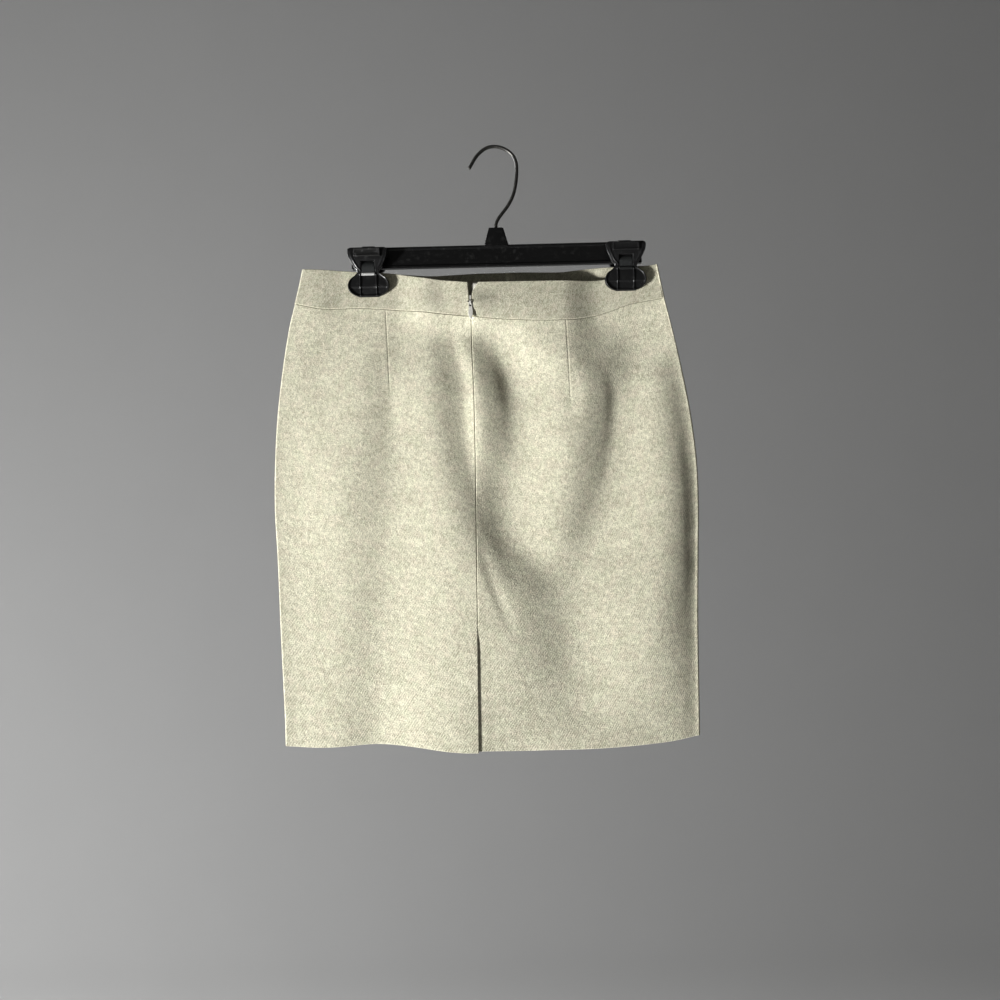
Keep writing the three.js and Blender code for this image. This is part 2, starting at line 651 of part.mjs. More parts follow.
// The spring: one bent strip over the bar, its two plates lying in the jaws' windows.
const SPRING_LINE = [
  [-7.2, -127.2], [-8.0, -124.0], [-8.6, -120.6], [-8.2, -118.4], [-7.4, -116.7], [-6.3, -114.9],
  [-5.3, -111.8], [-4.6, -107.6], [-4.2, -103.6], [-4.0, -101.0], [-3.3, -99.3], [-1.4, -98.9],
];
function spring(centre) {
  const mirrored = SPRING_LINE.map(([y, z]) => [-y, z]).reverse();
  const line = [...SPRING_LINE, ...mirrored];
  const thick = 0.5;
  const rings = line.map(([y, z], k) => {
    const before = line[Math.max(0, k - 1)];
    const after = line[Math.min(line.length - 1, k + 1)];
    const along = new THREE.Vector2(after[0] - before[0], after[1] - before[1]).normalize();
    const out = [-along.y * thick, along.x * thick];
    return [[-1, 1], [1, 1], [1, -1], [-1, -1]].map(([side, layer]) =>
      new THREE.Vector3(centre + side * 6.5, y + layer * out[0], z + layer * out[1]));
  });
  return loft(rings);
}

// The zip's slider: a body behind the band, a post through the gap, and a bridge in front with
// a window for the pull's crossbar.
const SLIDER_Z = -161;
const PIVOT_Z = -161.4;
const sliderX = centreSeam(SLIDER_Z) + (gapRight(SLIDER_Z) - gapLeft(SLIDER_Z)) / 2;
const bandFace = clothY(-1, sliderX, SLIDER_Z) - BAND_PROUD;
const PIVOT_Y = bandFace - 2.2;
function slider() {
  const body = oblong(sliderX, bandFace + BAND_WALL + 4.8, PIVOT_Z, 6.4, 1.6, 9);
  const post = oblong(sliderX, bandFace + 3.2, PIVOT_Z, 1.5, 8.2, 4.4);
  const plate = oblong(sliderX, bandFace - 0.8, PIVOT_Z, 2.2, 0.8, 7.4);
  const bridge = oblong(sliderX, bandFace - 2.4, PIVOT_Z, 1.5, 3.2, 4.8);
  const window = oblong(sliderX, PIVOT_Y, PIVOT_Z, 4, 2, 2.3);
  const front = solidOf(bridge).subtract(solidOf(window)).add(solidOf(plate));
  return geometryOf(front.add(solidOf(post)).add(solidOf(body)));
}

// The pull: a flat drop with a slot at its top, whose crossbar passes through the bridge.
function pull() {
  const top = 0.55;
  const outline = new THREE.Shape();
  outline.moveTo(-1.9, top - 0.5);
  outline.lineTo(-1.4, top);
  outline.lineTo(1.4, top);
  outline.lineTo(1.9, top - 0.5);
  outline.lineTo(1.95, -1.6);
  outline.bezierCurveTo(1.7, -5, 2.3, -7, 2.3, -10.2);
  outline.bezierCurveTo(2.3, -13.4, 1.0, -16.0, 0.35, -17.4);
  outline.lineTo(-0.35, -17.4);
  outline.bezierCurveTo(-1.0, -16.0, -2.3, -13.4, -2.3, -10.2);
  outline.bezierCurveTo(-2.3, -7, -1.7, -5, -1.95, -1.6);
  const slot = new THREE.Path();
  slot.moveTo(-1.15, -top);
  slot.lineTo(-1.15, -3.8);
  slot.lineTo(1.15, -3.8);
  slot.lineTo(1.15, -top);
  outline.holes.push(slot);
  const drop = new THREE.ExtrudeGeometry(outline, { depth: 0.9, bevelEnabled: false, curveSegments: 5 });
  return drop.rotateX(Math.PI / 2).translate(0, 0.45, 0);
}

const skirt = new THREE.Group();
const body = new THREE.Group();
skirt.add(body);

function put(name, geometry, material, parent = body) {
  const mesh = new THREE.Mesh(geometry, material);
  mesh.name = name;
  parent.add(mesh);
  return mesh;
}

put("front_panel", panelWall(frontPanel, 26, steps(0, 1, 20)), WOOL);
put("back_panel_left", panelWall(backLeftPanel, 17), WOOL);
put("back_panel_right", rightPanelWithUnderlap(), WOOL);
put("waistband_front", bandWall(frontBand, 30), WOOL_INSIDE);
put("waistband_back_left", bandWall(backLeftBand, 18), WOOL);
put("waistband_back_right", bandWall(backRightBand, 20), WOOL);
put("zip_tape_left", tapeWall(-1), TAPE);
put("zip_tape_right", tapeWall(1), TAPE);
put("zip_slider", slider(), ZIP_METAL);
const swing = new THREE.Group();
swing.position.set(sliderX, PIVOT_Y, PIVOT_Z);
skirt.add(swing);
put("zip_pull", pull(), PULL_PAINT, swing);
put("hanger_bar", hangerBar(), PLASTIC);
put("hanger_hook", hook(), STEEL);
["left", "right"].forEach((name, k) => {
  put(`clip_${name}_front_jaw`, jaw(CLIP_X[k], -1), PLASTIC);
  put(`clip_${name}_rear_jaw`, jaw(CLIP_X[k], 1), PLASTIC);
  put(`clip_${name}_spring`, spring(CLIP_X[k]), STEEL);
});

export default skirt;
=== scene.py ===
"""A straight wool skirt hung by its waistband from a clip hanger, seen from the skirt's back.

Shapes are worked out in millimetres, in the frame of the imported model, and become metres when
they are put into a mesh. +X is to the viewer's right, -Y towards the viewer and +Z up. The origin
is the inner top of the hanger's hook.
"""
from __future__ import annotations

import logging
import math
from dataclasses import dataclass, field
from enum import Enum
from typing import Any, Callable, Sequence

import bpy
import numpy as np
from mathutils import Euler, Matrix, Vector

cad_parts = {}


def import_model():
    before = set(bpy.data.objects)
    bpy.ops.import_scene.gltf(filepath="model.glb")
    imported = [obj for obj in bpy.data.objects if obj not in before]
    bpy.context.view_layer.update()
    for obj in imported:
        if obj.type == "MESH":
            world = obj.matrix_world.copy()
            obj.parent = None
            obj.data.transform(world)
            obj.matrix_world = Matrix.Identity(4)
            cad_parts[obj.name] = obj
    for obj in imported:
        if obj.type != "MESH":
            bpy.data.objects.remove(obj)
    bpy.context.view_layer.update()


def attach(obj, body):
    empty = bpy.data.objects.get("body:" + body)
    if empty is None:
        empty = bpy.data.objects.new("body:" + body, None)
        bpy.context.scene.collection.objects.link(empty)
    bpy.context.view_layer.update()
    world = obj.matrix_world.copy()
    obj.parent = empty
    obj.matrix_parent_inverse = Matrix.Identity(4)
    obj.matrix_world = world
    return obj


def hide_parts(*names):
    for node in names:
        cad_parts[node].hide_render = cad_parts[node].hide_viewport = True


LOG = logging.getLogger("skirt")
Array = np.ndarray
Line = Callable[[Array], Array]
Colour = tuple[float, float, float, float]

# One millimetre in metres, and the scale that turns a shader's metres into millimetres
MM = 0.001
IN_MM = (1000, 1000, 1000)
# A fold whose last point is lower than this runs on over the hem, in millimetres
OVER_HEM = -600.0


class Face(Enum):
    """Which side of the hanging skirt a cloth piece is on; the value is its outward Y."""

    BACK = -1
    FRONT = 1


class Half(Enum):
    """Which side of the centre back seam a piece is on."""

    NONE = 0
    LEFT = -1
    RIGHT = 1


def ease(t: Array) -> Array:
    """Return the smooth step of t: 3t^2 - 2t^3 with t held from 0 to 1."""
    held = np.clip(t, 0.0, 1.0)
    return held * held * (3.0 - 2.0 * held)


def mix(a: Array, b: Array, t: Array) -> Array:
    """Return the value a share t of the way from a to b."""
    return a + (b - a) * t


class Track:
    """A smooth line through the rows of a table, held level past its ends.

    Between two rows it is the cubic that meets both values, with each row's slope taken from
    its two neighbours.
    """

    def __init__(self, keys: Sequence[float], values: Sequence[float]) -> None:
        """Sort the rows and work out the slope at each.

        Args:
            keys: where each row stands.
            values: the line's value there.
        """
        order = np.argsort(keys)
        self.keys = np.asarray(keys, float)[order]
        self.values = np.asarray(values, float)[order]
        ahead = np.minimum(np.arange(len(order)) + 1, len(order) - 1)
        behind = np.maximum(np.arange(len(order)) - 1, 0)
        rise = self.values[ahead] - self.values[behind]
        self.slopes = rise / (self.keys[ahead] - self.keys[behind])

    def __call__(self, where: Array) -> Array:
        """Return the line's value at each key in where."""
        k = np.clip(np.asarray(where, float), self.keys[0], self.keys[-1])
        i = np.clip(np.searchsorted(self.keys, k, side="right") - 1, 0, len(self.keys) - 2)
        span = self.keys[i + 1] - self.keys[i]
        t = (k - self.keys[i]) / span
        t2 = t * t
        t3 = t2 * t
        start = (2 * t3 - 3 * t2 + 1) * self.values[i] + (t3 - 2 * t2 + t) * span * self.slopes[i]
        end = (3 * t2 - 2 * t3) * self.values[i + 1] + (t3 - t2) * span * self.slopes[i + 1]
        return start + end


def track(rows: Sequence[Sequence[float]], column: int) -> Track:
    """Return the smooth line of one column of a table against its first column.

    Args:
        rows: the table.
        column: which column holds the values.

    Returns:
        The line.
    """
    return Track([row[0] for row in rows], [row[column] for row in rows])


@dataclass(frozen=True)
class Fold:
    """A trough along a line of points, with its own reach to the left and right of the line.

    A negative depth is a swell. The lengths start and end are those over which it fades in at
    the top and out at the bottom.
    """

    name: str
    depth: tuple[float, ...]
    z: tuple[float, ...]
    x: tuple[float, ...]
    left: float
    right: float
    start: float = 40.0
    end: float = 60.0

    def press(self, x: Array, z: Array) -> Array:
        """Return how far the fold presses the cloth in at (x, z).

        Across the line the depth falls as exp(-(distance / reach)^2). It fades in at the top,
        and at the bottom unless the fold runs on to the hem.
        """
        away = x - Track(self.z, self.x)(z)
        reach = np.where(away < 0, self.left, self.right)
        rise = ease((self.z[0] + 0.7 * self.start - z) / self.start)
        fall = ease((z - self.z[-1] + self.end / 1.5) / self.end)
        fall = np.where(self.z[-1] < OVER_HEM, 1.0, fall)
        return Track(self.z, self.depth)(z) * rise * fall * np.exp(-((away / reach) ** 2))


# The back's main folds. Their depths, places and reaches were fitted by a program to the shading
# of the photograph and then changed in places. The names and heights were given one by one.
BACK_FOLDS = (
    Fold("long trough right of the centre seam", (7, 9.5, 7, 9.6, 9.6, 6.6, 6.1, 4),
         (-185, -225, -270, -330, -400, -462, -530, -590), (-20, 8, 23, 17, 14, 58, 70, 76), 35, 44),
    Fold("swing from the right clip", (8, 8, 6.7, 7.1, 7, 6.4),
         (-180, -230, -275, -330, -385, -430), (138, 139, 127, 114, 94, 80), 26, 40),
    Fold("step left of the centre seam", (2.8, 6.8, 7.6, 3, 0.4, 1.4),
         (-190, -235, -285, -345, -400, -440), (-52, -40, -38, -32, -14, 8), 23, 12),
    Fold("hollow below the left dart", (7.5, 5.6, 7, 5.9, 5.7, 5.4, 8),
         (-185, -240, -300, -380, -450, -530, -608), (-84, -106, -103, -111, -117, -124, -129), 32, 50),
    Fold("swell above the right side's fall", (-5, -2.8, 0.6, 2.2),
         (-430, -490, -560, -608), (180, 160, 154, 158), 34, 28),
    Fold("swell between the troughs", (1.5, -2, -2.5, -0.4, -0.2),
         (-190, -240, -300, -370, -420), (54, 84, 68, 52, 52), 38, 23),
    Fold("low trough by the vent", (1.3, 1.6, 4.6, 6),
         (-470, -520, -565, -608), (26, 28, 20, 14), 54, 48),
    Fold("hollow on the left hip", (3.2, 1.8, -1, -1.7),
         (-190, -250, -320, -390), (-171, -174, -167, -172), 29, 26),
    Fold("swell on the right hip", (-3.8, -2, -4, -5),
         (-230, -290, -350, -410), (160, 170, 182, 180), 28, 18),
    Fold("swell along the zip", (-1.6, -1.0, -2.0, 0.8),
         (-190, -240, -300, -350), (-22, -14, -16, -8), 13, 21),
)
# The front's folds, which are guesses
FRONT_FOLDS = (
    Fold("hollow under the left clip", (2, 6, 6, 4, 6),
         (-180, -260, -360, -470, -608), (-120, -104, -98, -108, -116), 34, 42),
    Fold("hollow under the right clip", (2, 6, 7, 5, 5),
         (-180, -250, -340, -470, -608), (118, 96, 84, 92, 104), 40, 32),
    Fold("middle swell", (0, -3, -4, -3, -2),
         (-190, -270, -370, -480, -608), (-12, -8, -14, -10, -4), 46, 44),
)
# Creases and small swells on top of the back's main folds
FINE_BACK_FOLDS = (
    Fold("sharp crease low on the swing", (0.4, 1.3, 1.0, 0.2),
         (-232, -262, -300, -345), (112, 116, 112, 102), 7, 9, 20, 30),
    Fold("fine crease right of the seam", (0.3, 1.0, 0.9, 0.2),
         (-402, -432, -464, -500), (-23, -16, -5, 10), 5, 7, 20, 25),
    Fold("fullness down the right side", (-4, -6, -7, -7, -6),
         (-205, -290, -400, -500, -608), (166, 176, 180, 178, 176), 62, 17),
    Fold("crease beside the seam", (0.4, 1.8, 2.0, 0.6),
         (-318, -350, -385, -420), (-8, -7, -4, 4), 13, 24, 20, 26),
    Fold("flat of the seam below the waist", (2.0, 4.0, 4.8, 4.6, 3.2, 1.0),
         (-190, -225, -265, -310, -345, -385), (-12, -12, -12, -13, -16, -20), 21, 46, 24, 30),
    Fold("sharp crease in the long trough", (0.4, 1.9, 2.3, 1.6, 0.4),
         (-195, -225, -255, -285, -318), (-3, 6, 11, 13, 14), 10, 26, 20, 30),
    Fold("fullness behind the pull", (-1.4, -2.6, -2.4, -1.0),
         (-154, -163, -173, -186), (-24, -23, -23, -23), 6, 17, 14, 30),
    Fold("dip in the waistband left of the zip", (2.4, 3.0, 2.0),
         (-126, -150, -168), (-58, -56, -56), 27, 15, 16, 24),
    Fold("dip under the right clip", (1.2, 1.4, 0.4),
         (-150, -166, -196), (104, 108, 112), 11, 13, 14, 24),
    Fold("pucker at the left dart's point", (0.2, 0.8, 0.2),
         (-225, -252, -285), (-112, -111, -110), 9, 9, 24, 30),
    Fold("pucker at the right dart's point", (0.2, 0.8, 0.2),
         (-240, -268, -300), (70, 72, 73), 9, 9, 24, 30),
)


@dataclass(frozen=True)
class SkirtForm:
    """The hanging skirt's surface: its edges, seams and folds as smooth lines of short tables."""

    fold_radius: float = 4.5
    fold_width: float = 2.2
    seam_gap: float = 0.3
    clip_depth: float = 2.8
    clip_x: tuple[float, float] = (-131.0, 131.0)
    vent_top: float = -486.0
    turn: float = 0.08
    # a clip's grip: half its width and its lower end, and the lengths over which it fades
    grip_half: float = 24.0
    grip_beside: float = 42.0
    grip_foot: float = -158.0
    grip_below: float = 95.0
    # the vent: how far the left layer lifts and the right one sinks, and over what widths
    vent_fade: float = 34.0
    lift: float = 0.35
    lift_width: float = 34.0
    sink: float = 1.2
    sink_slope: float = 0.036
    sink_width: float = 40.0
    # height, left edge, right edge, depth of the side folds, swell of the back and of the front
    sections: tuple[tuple[float, ...], ...] = (
        (-110, -197.0, 162.0, 0.0, 7.5, 5.5),
        (-135, -202.5, 166.5, 0.0, 8.0, 5.8),
        (-156, -208.0, 170.5, 0.0, 8.5, 6.0),
        (-181, -214.5, 176.5, 0.0, 9.5, 6.8),
        (-223, -222.0, 185.5, -0.3, 13.0, 9.0),
        (-273, -228.5, 194.3, -1.0, 16.5, 11.5),
        (-322, -231.8, 199.5, -2.0, 18.0, 13.0),
        (-366, -232.6, 200.4, -3.0, 18.0, 14.0),
        (-420, -230.6, 198.6, -4.2, 17.5, 15.0),
        (-487, -229.0, 196.3, -5.6, 17.0, 16.0),
        (-573, -226.4, 195.0, -7.4, 16.5, 17.0),
        (-615, -226.0, 194.5, -8.0, 16.5, 17.0),
    )
    # across, height
    band_top_back: tuple[tuple[float, float], ...] = (
        (-200, -120.6), (-177, -121.8), (-151, -123.9), (-108, -126.9), (-96, -129.1), (-82, -132.1),
        (-62, -135.8), (-46, -138.1), (-30, -140.0), (-17, -140.2), (22, -140.3), (71, -140.0),
        (98, -139.4), (114, -137.4), (130, -131.6), (144, -126.8), (166, -123.8),
    )
    seam_back: tuple[tuple[float, float], ...] = (
        (-209, -156.0), (-180, -161.6), (-142, -161.6), (-100, -165.0), (-47, -172.2),
        (13, -178.5), (70, -179.8), (103, -174.2), (136, -164.2), (171, -158.8),
    )
    band_top_front: tuple[tuple[float, float], ...] = (
        (-200, -120.6), (-150, -123.9), (-131, -124.7), (-90, -127.6), (-56, -130.3), (-22, -131.5),
        (24, -131.3), (60, -129.6), (86, -126.6), (108, -125.0), (131, -124.4), (166, -123.8),
    )
    seam_front: tuple[tuple[float, float], ...] = (
        (-209, -156.0), (-131, -161.4), (-17, -165.0), (100, -163.4), (171, -158.8),
    )
    hem_back: tuple[tuple[float, float], ...] = (
        (-227, -604.8), (-190, -606.6), (-131, -604.4), (-93, -606.6), (-55, -611.0),
        (-29, -612.4), (46, -612.0), (100, -611.4), (160, -608.4), (195, -603.8),
    )
    hem_front: tuple[tuple[float, float], ...] = ((-227, -604.8), (-17, -607.0), (195, -603.8))
    # height, across
    centre_seam: tuple[tuple[float, float], ...] = (
        (-110, -27.4), (-175, -27.6), (-260, -26.4), (-360, -26.6), (-486, -27.8), (-615, -29.4),
    )
    # height, how far the waistband's left and right edges stand from the centre seam
    zip_gap: tuple[tuple[float, float, float], ...] = (
        (-140, 2.4, 8.6), (-145, 2.1, 5.4), (-150, 1.7, 2.4), (-155, 1.45, 1.6),
        (-164, 1.3, 1.4), (-169, 0.6, 0.7), (-175, 0.15, 0.15), (-182, 0.15, 0.15),
    )

    def left(self, z: Array) -> Array:
        """Return the left edge at height z."""
        return track(self.sections, 1)(z)

    def right(self, z: Array) -> Array:
        """Return the right edge at height z."""
        return track(self.sections, 2)(z)

    def side_depth(self, z: Array) -> Array:
        """Return the depth of the side folds at height z."""
        return track(self.sections, 3)(z)

    def centre(self, z: Array) -> Array:
        """Return the centre back seam's place across at height z."""
        return track(self.centre_seam, 1)(z)

    def grip(self, x: Array, z: Array) -> Array:
        """Return the share of a clip's grip at (x, z): whole under the pads, fading away."""
        below = 1.0 - ease((self.grip_foot - z) / self.grip_below)
        away = [np.abs(x - middle) - self.grip_half for middle in self.clip_x]
        beside = [1.0 - ease(distance / self.grip_beside) for distance in away]
        return np.maximum(*beside) * below

    def lap(self, half: Half, x: Array, z: Array) -> Array:
        """Return how far the vent's layers part: the left lifts, the right sinks under it."""
        if half is Half.NONE:
            return np.zeros_like(x)
        down = ease((self.vent_top + 8.0 - z) / self.vent_fade)
        side = x - self.centre(z)
        away = np.abs(side)
        if half is Half.LEFT:
            return -self.lift * down * (1.0 - ease(away / self.lift_width))
        under = self.sink + self.sink_slope * away
        beside = self.sink * down * (1.0 - ease((away - 1.0) / self.sink_width))
        return np.where(side < 0, under, beside)

    def depth(self, face: Face, x: Array, z: Array, half: Half) -> Array:
        """Return the outer side's Y at (x, z), away from the turned side folds.

        The cloth stands off the middle plane by the fold radius, a dome (1 - s^2)^1.5 and the
        folds, where s runs from -1 to 1 between the side folds, and comes down to the clips.
        """
        low = self.left(z) + self.fold_radius
        high = self.right(z) - self.fold_radius
        across = np.clip((2 * x - low - high) / (high - low), -1.0, 1.0)
        back = face is Face.BACK
        swell = track(self.sections, 4 if back else 5)(z)
        folds = BACK_FOLDS + FINE_BACK_FOLDS if back else FRONT_FOLDS
        pressed = sum(fold.press(x, z) for fold in folds) * (1.0 - np.abs(across) ** 8)
        free = self.fold_radius + swell * (1.0 - across * across) ** 1.5 - pressed
        held = mix(free, self.clip_depth, self.grip(x, z))
        return self.side_depth(z) + face.value * held + self.lap(half, x, z)


FORM = SkirtForm()


@dataclass(frozen=True)
class Cut:
    """One piece of cloth as it is cut: which face it lies on and where its four edges run."""

    face: Face
    upper: Line
    lower: Line
    upper_near: float
    lower_near: float
    half: Half = Half.NONE
    left_edge: Line | None = None
    right_edge: Line | None = None

    def point(self, a: Array, z: Array) -> Array:
        """Return the outer side's points at share a of the width and height z.

        Where an edge is a side seam, the last of the width turns round a quarter ellipse as deep
        as the fold's radius; the rest runs straight across, with its depth from the form.
        """
        radius, wide = FORM.fold_radius, FORM.fold_width
        first = math.asin(0.7 * FORM.seam_gap / radius)
        low, high = FORM.left(z), FORM.right(z)
        start = FORM.turn if self.left_edge is None else 0.0
        stop = 1.0 - FORM.turn if self.right_edge is None else 1.0
        x0 = low + wide if self.left_edge is None else self.left_edge(z)
        x1 = high - wide if self.right_edge is None else self.right_edge(z)
        x = mix(x0, x1, (a - start) / (stop - start))
        y = FORM.depth(self.face, x, z, self.half)
        if self.left_edge is None:
            angle = mix(first, math.pi / 2, a / FORM.turn)
            on = a < start
            x = np.where(on, low + wide * (1 - np.cos(angle)), x)
            y = np.where(on, FORM.side_depth(z) + self.face.value * radius * np.sin(angle), y)
        if self.right_edge is None:
            angle = mix(first, math.pi / 2, (1 - a) / FORM.turn)
            on = a > stop
            x = np.where(on, high - wide * (1 - np.cos(angle)), x)
            y = np.where(on, FORM.side_depth(z) + self.face.value * radius * np.sin(angle), y)
        return np.stack([x, y, z], axis=-1)

    def surface(self, a: Array, b: Array) -> Array:
        """Return the points at share a across and share b down, between the two cut edges."""
        near = np.full_like(a, self.upper_near)
        far = np.full_like(a, self.lower_near)
        top = self.upper(self.point(a, near)[..., 0])
        bottom = self.lower(self.point(a, far)[..., 0])
        return self.point(a, mix(top, bottom, b))

    def outward(self, a: Array, b: Array) -> Array:
        """Return the unit vectors out of the cloth: the cross product of its two slopes."""
        step = 1e-4
        high = np.minimum(a + step, 1.0)
        low = np.where(a > 0, np.maximum(a - step, 0.0), a)
        across = self.surface(high, b) - self.surface(low, b)
        down = self.surface(a, b + step) - self.surface(a, b - step)
        out = np.cross(across, down) * self.face.value
        return out / np.linalg.norm(out, axis=-1, keepdims=True)


@dataclass
class Surface:
    """Points with the four-sided and three-sided faces between them, and a flat cloth map."""

    points: Array
    quads: Array
    tris: Array = field(default_factory=lambda: np.zeros((0, 3), int))
    flat: Array | None = None

    @staticmethod
    def joined(parts: Sequence["Surface"]) -> "Surface":
        """Return several surfaces as one, their points kept apart."""
        counts = np.cumsum([0] + [len(part.points) for part in parts])
        return Surface(
            np.concatenate([part.points for part in parts]),
            np.concatenate([part.quads + n for part, n in zip(parts, counts)]),
            np.concatenate([part.tris + n for part, n in zip(parts, counts)]),
        )

    def volume(self) -> float:
        """Return the signed volume: a sixth of the sum of the corners' triple products."""
        p = self.points
        q = self.quads
        corners = np.concatenate([q[:, [0, 1, 2]], q[:, [0, 2, 3]], self.tris])
        a, b, c = p[corners[:, 0]], p[corners[:, 1]], p[corners[:, 2]]
        return float(np.einsum("ij,ij->i", a, np.cross(b, c)).sum()) / 6.0

    def turned_out(self) -> "Surface":
        """Return the surface with its faces pointing out."""
        if self.volume() >= 0:
            return self
        return Surface(self.points, self.quads[:, ::-1], self.tris[:, ::-1], self.flat)


def closed_wall(outer: Array, inner: Array, cells: Array | None = None, ring: bool = False,
                flat: Array | None = None) -> Surface:
    """Return a closed wall between two grids of points.

    Args:
        outer: outer points, as columns by rows by 3.
        inner: inner points, in the same order.
        cells: which cells of the grid are there; all of them if not given.
        ring: whether the last column joins the first.
        flat: flat map coordinates of the grid, as columns by rows by 2.

    Returns:
        The wall, with rims round its border and round any hole in cells.
    """
    nx, ny = outer.shape[:2]
    wide = nx if ring else nx - 1
    there = np.ones((wide, ny - 1), bool) if cells is None else cells
    ids = np.arange(nx * ny).reshape(nx, ny)
    low = ids + nx * ny
    i, j = np.nonzero(there)
    k = (i + 1) % nx
    quads = [
        np.stack([ids[i, j], ids[i, j + 1], ids[k, j + 1], ids[k, j]], 1),
        np.stack([low[i, j], low[k, j], low[k, j + 1], low[i, j + 1]], 1),
    ]
    held = np.pad(there, 1, mode="wrap" if ring else "constant")
    if ring:
        held[:, [0, -1]] = False
    for di, dj in ((-1, 0), (1, 0), (0, -1), (0, 1)):
        alone = there & ~held[1 + di : 1 + di + wide, 1 + dj : ny + dj]
        i, j = np.nonzero(alone)
        k = (i + 1) % nx
        ends = {
            (-1, 0): ((i, j + 1), (i, j)),
            (1, 0): ((k, j), (k, j + 1)),
            (0, -1): ((i, j), (k, j)),
            (0, 1): ((k, j + 1), (i, j + 1)),
        }[di, dj]
        one, two = ends
        quads.append(np.stack([ids[one], ids[two], low[two], low[one]], 1))
    points = np.concatenate([outer.reshape(-1, 3), inner.reshape(-1, 3)])
    mapped = None if flat is None else np.concatenate([flat.reshape(-1, 2)] * 2)
    return Surface(points, np.concatenate(quads), flat=mapped).turned_out()


def loft(rings: Array) -> Surface:
    """Return a solid through rings of points, with a fan of triangles closing each end.

    Args:
        rings: points as rings by points by 3.

    Returns:
        The closed surface.
    """
    count, size = rings.shape[:2]
    ids = np.arange(count * size).reshape(count, size)
    nxt = np.roll(ids, -1, axis=1)
    quads = np.stack([ids[:-1], nxt[:-1], nxt[1:], ids[1:]], -1).reshape(-1, 4)
    first, last = count * size, count * size + 1
    start = np.stack([np.full(size, first), nxt[0], ids[0]], 1)
    stop = np.stack([np.full(size, last), ids[-1], nxt[-1]], 1)
    middles = rings[[0, -1]].mean(axis=1)
    points = np.concatenate([rings.reshape(-1, 3), middles])
    return Surface(points, quads, np.concatenate([start, stop])).turned_out()


def tube(path: Array, radius: Array, sides: int) -> Surface:
    """Return a round tube along a path in a plane of constant Y.

    Each ring is centre + r (cos t * Y + sin t * N), with N square to the path in its plane.

    Args:
        path: points along the middle, as n by 3.
        radius: the radius at each point.
        sides: points round each ring.

    Returns:
        The closed tube.
    """
    along = np.gradient(path, axis=0)
    along /= np.linalg.norm(along, axis=1, keepdims=True)
    side = np.array([0.0, 1.0, 0.0])
    up = np.cross(along, side)
    t = np.linspace(0, 2 * math.pi, sides, endpoint=False)[None, :, None]
    ring = np.cos(t) * side + np.sin(t) * up[:, None, :]
    return loft(path[:, None, :] + radius[:, None, None] * ring)


def strip(centre: float, line: Array, width: float, thick: float, rows: int = 5) -> Surface:
    """Return a flat strip bent along a line in the YZ plane.

    Args:
        centre: the strip's middle across.
        line: (y, z) points along it.
        width: its width along X.
        thick: its thickness.
        rows: points across the width.

    Returns:
        The closed strip.
    """
    along = np.gradient(line, axis=0)
    along /= np.linalg.norm(along, axis=1, keepdims=True)
    out = np.stack([-along[:, 1], along[:, 0]], 1) * thick / 2
    x = centre + np.linspace(-width / 2, width / 2, rows)
    grids = []
    for sign in (1, -1):
        yz = line + sign * out
        grid = np.zeros((len(line), rows, 3))
        grid[..., 0] = x[None, :]
        grid[..., 1] = yz[:, 0, None]
        grid[..., 2] = yz[:, 1, None]
        grids.append(grid)
    return closed_wall(*grids)


def smooth_path(points: Sequence[Sequence[float]], count: int) -> Array:
    """Return count evenly spaced points on a smooth line through the given ones.

    Args:
        points: the line's points, of two or three numbers each.
        count: how many points to return.

    Returns:
        The points, as count by the number of axes.
    """
    given = np.asarray(points, float)
    steps = np.linalg.norm(np.diff(given, axis=0), axis=1)
    length = np.concatenate([[0.0], np.cumsum(steps)])
    where = np.linspace(0, length[-1], count)
    axes = [Track(length, given[:, axis])(where) for axis in range(given.shape[1])]
    return np.stack(axes, 1)


def graded(length: float, step: float, fine: Sequence[float]) -> Array:
    """Return places from 0 to length, close together at both ends as fine gives."""
    inner = np.linspace(fine[-1], length - fine[-1], max(2, round((length - 2 * fine[-1]) / step)))
    ends = np.asarray(fine[:-1], float)
    return np.concatenate([ends, inner, (length - ends)[::-1]])


def rounding(edge: Array, soft: float) -> Array:
    """Return how far a face draws in near an edge: a quarter circle of the radius soft."""
    return soft * (1.0 - np.sqrt(1.0 - (1.0 - np.clip(edge / soft, 0.0, 1.0)) ** 2))


# Shader building


class Val:
    """A number socket that takes Python's arithmetic, each step adding a Math node."""

    def __init__(self, shade: "Shade", socket: Any) -> None:
        """Keep the shader that the socket belongs to."""
        self.shade = shade
        self.socket = socket

    def _math(self, kind: str, *values: Any) -> "Val":
        """Return the result of one Math node."""
        node = self.shade.node("Math", {"operation": kind}, dict(enumerate(values)))
        return Val(self.shade, node.outputs[0])

    def __add__(self, other: Any) -> "Val":
        """Return self + other."""
        return self._math("ADD", self, other)

    def __sub__(self, other: Any) -> "Val":
        """Return self - other."""
        return self._math("SUBTRACT", self, other)

    def __rsub__(self, other: Any) -> "Val":
        """Return other - self."""
        return self._math("SUBTRACT", other, self)

    def __mul__(self, other: Any) -> "Val":
        """Return self * other."""
        return self._math("MULTIPLY", self, other)

    __radd__ = __add__
    __rmul__ = __mul__

    def sine(self) -> "Val":
        """Return the sine."""
        return self._math("SINE", self)

    def size(self) -> "Val":
        """Return the value without its sign."""
        return self._math("ABSOLUTE", self)

    def over(self, low: float, high: float) -> "Val":
        """Return 0 below low, 1 above high and a smooth step between.

        Args:
            low: where it leaves 0; above high for a falling step.
            high: where it reaches 1.
        """
        settings = {"interpolation_type": "SMOOTHSTEP"}
        rising = low < high
        ends = (low, high) if rising else (high, low)
        inputs = {"Value": self, "From Min": ends[0], "From Max": ends[1]}
        out = Val(self.shade, self.shade.node("MapRange", settings, inputs).outputs[0])
        return out if rising else 1.0 - out


